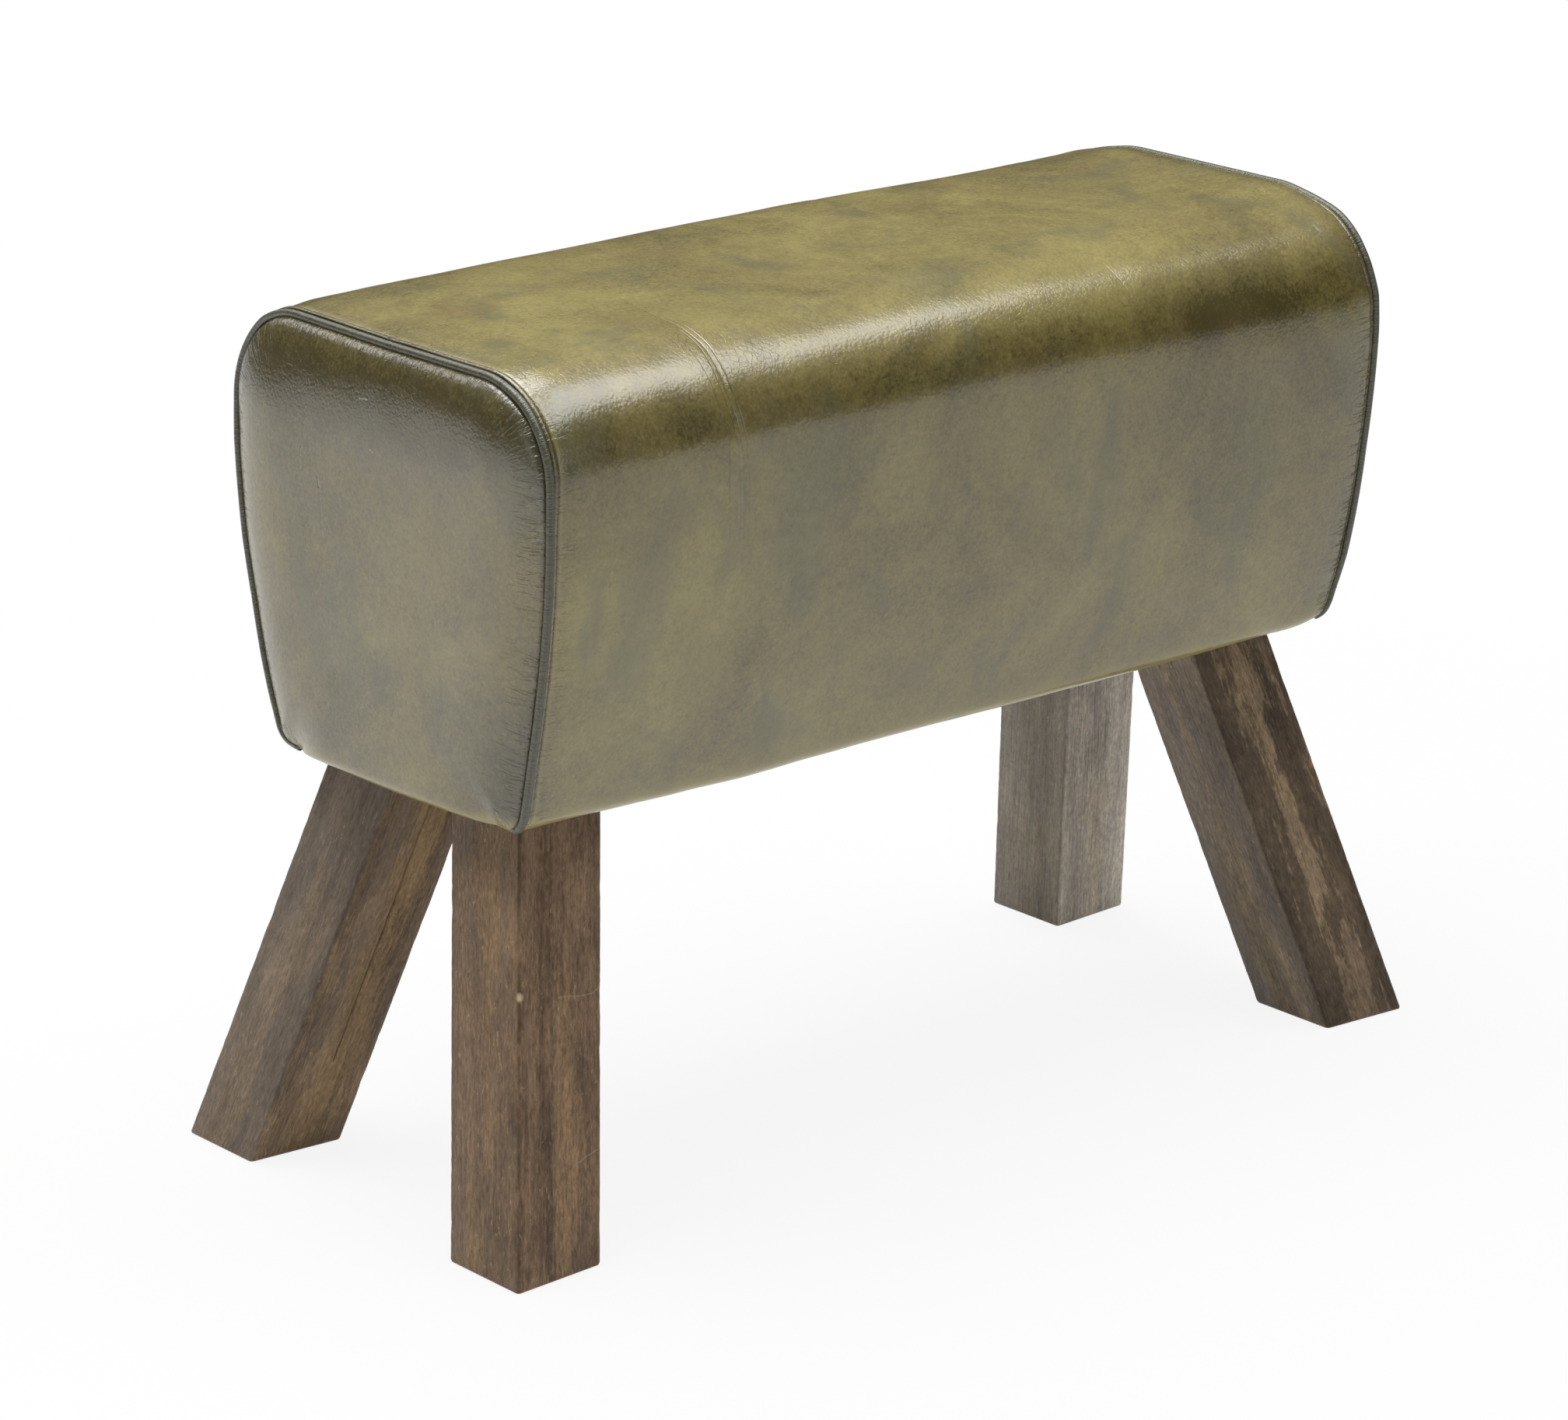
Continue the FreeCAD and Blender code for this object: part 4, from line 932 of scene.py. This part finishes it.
def crown(flat, outline, side):
    """How far the stuffed end stands out over each point of its flat outline."""
    to_seam, _ = distance_to(flat, outline)
    top = np.clip((flat[:, 2] - 0.50) / 0.07, 0, 1)
    tight = 0.0016 * (1 - np.exp(-to_seam / 0.008)) + top * 0.0034 * (1 - np.exp(-to_seam / 0.0020))
    full = CROWN_OUT * (1 - (1 - np.clip(to_seam / (CROWN_WIDE + 0.008 * top), 0, 1)) ** 2)
    low = np.clip((flat[:, 2] - UNDERSIDE) / PANEL_ROLL, 0, 1)
    rolled = ROLL_OUT * np.sqrt(1 - (1 - low) ** 2) + 0.0002
    out = ((SEAM_STEP + tight + full) ** -4.0 + rolled ** -4.0) ** -0.25
    uneven = 0.0007 * smooth_noise(flat, 0.09, 11 + side) + 0.0003 * smooth_noise(flat, 0.03, 14 + side)
    out += uneven * np.clip(to_seam / 0.03, 0, 1)
    return out


def shape_end(bm, side, behind):
    """Moves the flat grid out to the crowned end, this far behind its leather face."""
    outline = seam_line(SEAM, SEAM_INSET, side)
    flat = np.array([v.co[:] for v in bm.verts])
    for points in (flat, outline):
        low = np.clip((points[:, 2] - UNDERSIDE - SEAM_INSET) / 0.03, 0, 1)
        points[:, 2] -= SEAM_INSET * (1 - low) ** 2
    flat[:, 0] = (SEAM + crown(flat, outline, side) - behind) * side
    for vert, place in zip(bm.verts, settle(flat)):
        vert.co = place
    outline[:, 0] *= side
    return settle(outline)


for side, panel_node, foam_node in (
    (-1, "end_panel_left", "end_foam_left"),
    (1, "end_panel_right", "end_foam_right"),
):
    bm = stretched_grid(seam_line(SEAM, SEAM_INSET, side))
    outline = shape_end(bm, side, 0)
    low_edge = {v for v in bm.verts if v.co.z < UNDERSIDE + 0.025 and abs(v.co.y) < HEM_EDGE + 0.001}
    edges = [e for e in bm.edges if e.is_boundary and low_edge.issuperset(e.verts)]
    for _ in range(TONGUE_STEPS):
        edges, _ = extrude(bm, edges, (-side * (SEAM - TONGUE_END) / TONGUE_STEPS, 0, 0))
    bmesh.ops.recalc_face_normals(bm, faces=bm.faces[:])
    panel = make_object("leather_" + panel_node[:3] + panel_node[9:], bm, aged_leather)
    mesh = panel.data
    if (points_of(mesh, "normal")[:, 0] * side).sum() < 0:
        mesh.flip_normals()
    now = points_of(mesh)
    to_seam, along = distance_to(now, outline)
    store(mesh, "seam", np.stack([along * 0.97 + 9 * side, to_seam, 0 * along], 1))
    # Painted shade, with some stain: the panel is darker towards its edges, most towards the front edge and the
    # bottom, in a band under the top shoulder, and beside the seam.
    margin = 0.10 + 0.36 * ease(-now[:, 1], 0.03, 0.13) + 0.08 * ease(now[:, 1], 0.08, 0.14)
    margin = margin + 0.06 * ease(-now[:, 2], -0.40, -0.32)
    shoulders = 0.60 * bell(now[:, 2], 0.543, 0.026)
    store(mesh, "stain_and_painted_shade", margin + 0.40 * np.exp(-to_seam / 0.010) + shoulders)
    # Wear and painted highlight: yellow along the bottom edge, where the panel rolls under.
    store(mesh, "wear_and_painted_highlight", 1.5 * bell(now[:, 2], UNDERSIDE, 0.007))
    thicken(panel, LEATHER, -1)
    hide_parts(panel_node)
    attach(panel, "root")

    bm = stretched_grid(seam_line(SEAM, SEAM_INSET + PAD_INSET, side), 20, 18)
    shape_end(bm, side, PAD_BEHIND)
    _, back = extrude(bm, [e for e in bm.edges if e.is_boundary])
    for vert in back:
        vert.co.x = side * END_BOARD_FACE
    bmesh.ops.holes_fill(bm, edges=[e for e in bm.edges if e.is_boundary], sides=0)
    bmesh.ops.recalc_face_normals(bm, faces=bm.faces[:])
    pad = make_object(foam_node + "_pad", bm, pad_foam, smooth=False)
    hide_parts(foam_node)
    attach(pad, "root")


# ---- piping ----
# A 5 mm cord covered in a dark strip of the same leather, sewn into each end seam. It runs over
# the top and down both sides, and its cut ends tuck under the bottom corners.

PIPING_RADIUS = 0.0028
PIPING_SUNK = 0.0016

piping_leather, tree, shader = new_material("piping_leather", Roughness=0.42, Coat_Weight=0.8, Coat_Roughness=0.26,
                                            Coat_IOR=1.7)
welt = stored(tree, "welt", "Vector")
drawn = add(tree, "ShaderNodeMapping", ("Vector", welt), ("Scale", (1, 0.12, 1)))
gathers = mottle(tree, drawn.outputs[0], 900.0, 3.0, 0.5, 0.2)
tint = ramp(tree, gathers, (0.3, (0.034, 0.032, 0.013, 1)), (0.75, (0.124, 0.116, 0.056, 1)))
tree.links.new(tint, shader.inputs["Base Color"])
add_bump(tree, shader, gathers, 1.0, 0.0008, coat=True)

for side, node, back_tuck, front_tuck in ((-1, "piping_left", 1, 6), (1, "piping_right", 6, 6)):
    path = seam_line(SEAM, 0.0010, side)[back_tuck:-front_tuck] * (side, 1, 1)
    path[:, 2] -= PIPING_SUNK * ease(path[:, 2], SEAT - 0.016, SEAT - 0.002)
    path = settle(path)
    bm = bmesh.new()
    ring = bmesh.ops.create_circle(bm, segments=14, radius=PIPING_RADIUS)["verts"]
    edges = list({e for v in ring for e in v.link_edges})
    tangents = np.gradient(path, axis=0)
    tangents /= np.linalg.norm(tangents, axis=1)[:, None]
    shape = [v.co.copy() for v in ring]
    rows = [ring]
    for _ in path[1:]:
        edges, fresh = extrude(bm, edges)
        rows.append([next(e.other_vert(v) for e in v.link_edges if e.other_vert(v) in fresh) for v in rows[-1]])
    bm.verts.index_update()
    measure = {}
    for row, point, tangent, run in zip(rows, path, tangents, runs_of(path)):
        outward = Vector(tangent).cross(Vector((1, 0, 0))).normalized()
        for number, (vert, flat_place) in enumerate(zip(row, shape)):
            vert.co = Vector(point) + Vector((1, 0, 0)) * flat_place.x + outward * flat_place.y
            measure[vert.index] = (run, 2 * math.pi * PIPING_RADIUS * number / len(shape), side)
    for row in (rows[0], rows[-1]):
        bmesh.ops.contextual_create(bm, geom=row)
    bmesh.ops.recalc_face_normals(bm, faces=bm.faces[:])
    piping = make_object(node + "_cord", bm, piping_leather)
    store(piping.data, "welt", [measure[i] for i in range(len(piping.data.vertices))])
    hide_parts(node)
    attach(piping, "root")


# ---- seam stitching ----
# A line of lock stitches in waxed brown thread lies in the groove beside each piping. Each stitch
# is a short bead of thread, drawn a little way into the hide.

STITCH_PITCH = 0.0034
STITCH_LENGTH = 0.0025
STITCH_THICK = 0.00042
STITCH_INSET = 0.0012
STITCH_SUNK = 0.76
STITCH_END = 0.014

waxed_thread, tree, shader = new_material("waxed_thread", Roughness=0.5)
twist = mottle(tree, object_spot(tree), 1500.0, 2.0)
thread = ramp(tree, twist, (0.0, (0.050, 0.036, 0.014, 1)), (1.0, (0.150, 0.112, 0.044, 1)))
tree.links.new(thread, shader.inputs["Base Color"])
add_bump(tree, shader, twist, 0.6, 0.0002)


def copies_of(bm, places):
    """Swaps this small bmesh for one that holds a copy of it at each place."""
    single = bpy.data.meshes.new("single")
    bm.to_mesh(single)
    bm.clear()
    for place in places:
        copy = single.copy()
        copy.transform(place)
        bm.from_mesh(copy)
        bpy.data.meshes.remove(copy)


for side, name in ((-1, "stitching_left"), (1, "stitching_right")):
    line = (1 - STITCH_SUNK) * section_line(half - GROOVE_LOW, STITCH_INSET)
    line += STITCH_SUNK * seam_line(half - GROOVE_LOW, STITCH_INSET, side)
    line[:, 0] -= (GROOVE_HIGH - GROOVE_LOW) * ease(line[:, 2], *SHOULDER_BAND)
    line = settle(line * (side, 1, 1))
    starts = np.arange(STITCH_END, runs_of(line)[-1] - STITCH_END, STITCH_PITCH)
    places = []
    for start, end in zip(place_along(line, starts), place_along(line, starts + STITCH_LENGTH)):
        start, end = Vector(start), Vector(end)
        lie = (end - start).to_track_quat("Z", "X").to_matrix().to_4x4()
        places.append(Matrix.Translation((start + end) / 2) @ lie)
    bm = bmesh.new()
    bead = Matrix.Diagonal((STITCH_THICK, STITCH_THICK, STITCH_LENGTH / 2, 1))
    bmesh.ops.create_uvsphere(bm, u_segments=6, v_segments=4, radius=1, matrix=bead)
    copies_of(bm, places)
    bmesh.ops.recalc_face_normals(bm, faces=bm.faces[:])
    stitching = make_object(name, bm, waxed_thread)
    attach(stitching, "root")


# ---- dust cover ----
# Black non-woven cloth, cut as one rectangle with a window for each leg. It is stretched over the
# underside, laps the leather hems, and is held by wire staples along its edges and at the windows.

CLOTH_LONG = 0.7072
CLOTH_WIDE = 0.2276
CLOTH_THICK = 0.0008
WINDOW_ALONG = 0.0400
WINDOW_ACROSS = 0.0427
WINDOW_AT = (0.3001, 0.0616)
STAPLE_WIDE = 0.0125
STAPLE_WIRE = 0.0007

dust_cloth, tree, shader = new_material("dust_cloth", Roughness=0.92, Specular_IOR_Level=0.1)
spot = object_spot(tree)
web = mottle(tree, spot, 900.0, 4.0, 0.7)
points_pressed = add(tree, "ShaderNodeTexVoronoi", ("Vector", spot), ("Scale", 620.0),
                     ("Randomness", 0.25)).outputs["Distance"]
dusty = mottle(tree, spot, 14.0, 5.0)
shade = weighted(tree, (dusty, 0.25), (points_pressed, 0.35), (web, 0.45))
black = ramp(tree, shade, (0.25, (0.010, 0.010, 0.010, 1)), (0.75, (0.060, 0.058, 0.055, 1)))
tree.links.new(black, shader.inputs["Base Color"])
tree.links.new(spread(tree, web, 0.0, 1.0, 0.85, 1.0), shader.inputs["Roughness"])
add_bump(tree, shader, sum_of(tree, "ADD", web, points_pressed), 0.7, 0.0003)

staple_places = [(x, y, 0) for x in np.linspace(-0.325, 0.325, 14) for y in (-0.1085, 0.1085)]
staple_places += [(x, y, 90) for x in (-0.3478, 0.3478) for y in np.linspace(-0.085, 0.085, 5)]
staple_places += [(x, y, 90) for x in (-0.2540, 0.2540) for y in (-0.082, -0.040, 0.040, 0.082)]
staple_places += [(x, y, 0) for x in (-0.322, -0.278, 0.278, 0.322) for y in (-0.0125, 0.0125)]

bm = bmesh.new()
cut = Matrix.Translation((0, 0, UNDERSIDE)) @ Matrix.Diagonal((CLOTH_LONG / 2, CLOTH_WIDE / 2, 1, 1))
bmesh.ops.create_grid(bm, x_segments=156, y_segments=50, size=1, matrix=cut)
half_window = Vector((WINDOW_ALONG, WINDOW_ACROSS, 0))
for side in (-1, 1):
    for front in (-1, 1):
        middle = Vector((side * WINDOW_AT[0], front * WINDOW_AT[1], 0))
        low, high = middle - half_window, middle + half_window
        for point in (low, high):
            for facing in ((1, 0, 0), (0, 1, 0)):
                slice_at(bm, point, facing, dist=1e-5)
        spots = [(f, f.calc_center_median()) for f in bm.faces]
        window = [f for f, spot in spots if low.x < spot.x < high.x and low.y < spot.y < high.y]
        bmesh.ops.delete(bm, geom=window, context="FACES")
flat = np.array([v.co[:] for v in bm.verts])
nearest = np.min([np.hypot(flat[:, 0] - x, flat[:, 1] - y) for x, y, _ in staple_places], axis=0)
held = bell(nearest, 0, 0.012)
loose = 1 - bell(nearest, 0, 0.045)
over_gap = ease(-np.abs(flat[:, 1]), -0.100, -0.060)
sag = 0.0005 + 0.0011 * loose * (1 + smooth_noise(flat, 0.05, 21)) + 0.0016 * loose * over_gap
flat[:, 2] -= (1 - held) * sag
for vert, place in zip(bm.verts, settle(flat)):
    vert.co = place
for face in bm.faces:
    if face.normal.z > 0:
        face.normal_flip()
cover = make_object("dust_cover_cloth", bm, dust_cloth)
thicken(cover, CLOTH_THICK, 1)

wire_zinc, tree, shader = new_material("wire_zinc", Metallic=1.0, Roughness=0.34)
tarnish = mottle(tree, object_spot(tree), 260.0, 4.0)
steel = ramp(tree, tarnish, (0.35, (0.30, 0.27, 0.23, 1)), (0.60, (0.62, 0.62, 0.63, 1)))
tree.links.new(steel, shader.inputs["Base Color"])
tree.links.new(spread(tree, tarnish, 0.0, 1.0, 0.55, 0.28), shader.inputs["Roughness"])

places = []
for number, (x, y, turned) in enumerate(staple_places):
    askew = turned + 7 * noise.noise(Vector((number * 1.7, 0.3, 0.5)))
    seat = Vector(settle(np.array([[x, y, UNDERSIDE]]))[0]) - Vector((0, 0, CLOTH_THICK + STAPLE_WIRE * 0.35))
    places.append(Matrix.Translation(seat) @ Matrix.Rotation(math.radians(askew), 4, "Z"))
bm = bmesh.new()
bmesh.ops.create_cube(bm, size=1, matrix=Matrix.Diagonal((STAPLE_WIDE, 2 * STAPLE_WIRE, STAPLE_WIRE, 1)))
bmesh.ops.bevel(bm, geom=bm.edges[:], offset=0.00025, segments=2, profile=0.5, affect="EDGES", material=-1)
copies_of(bm, places)
staples = make_object("cover_staples", bm, wire_zinc)
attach(staples, "root")

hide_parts("dust_cover")
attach(cover, "root")
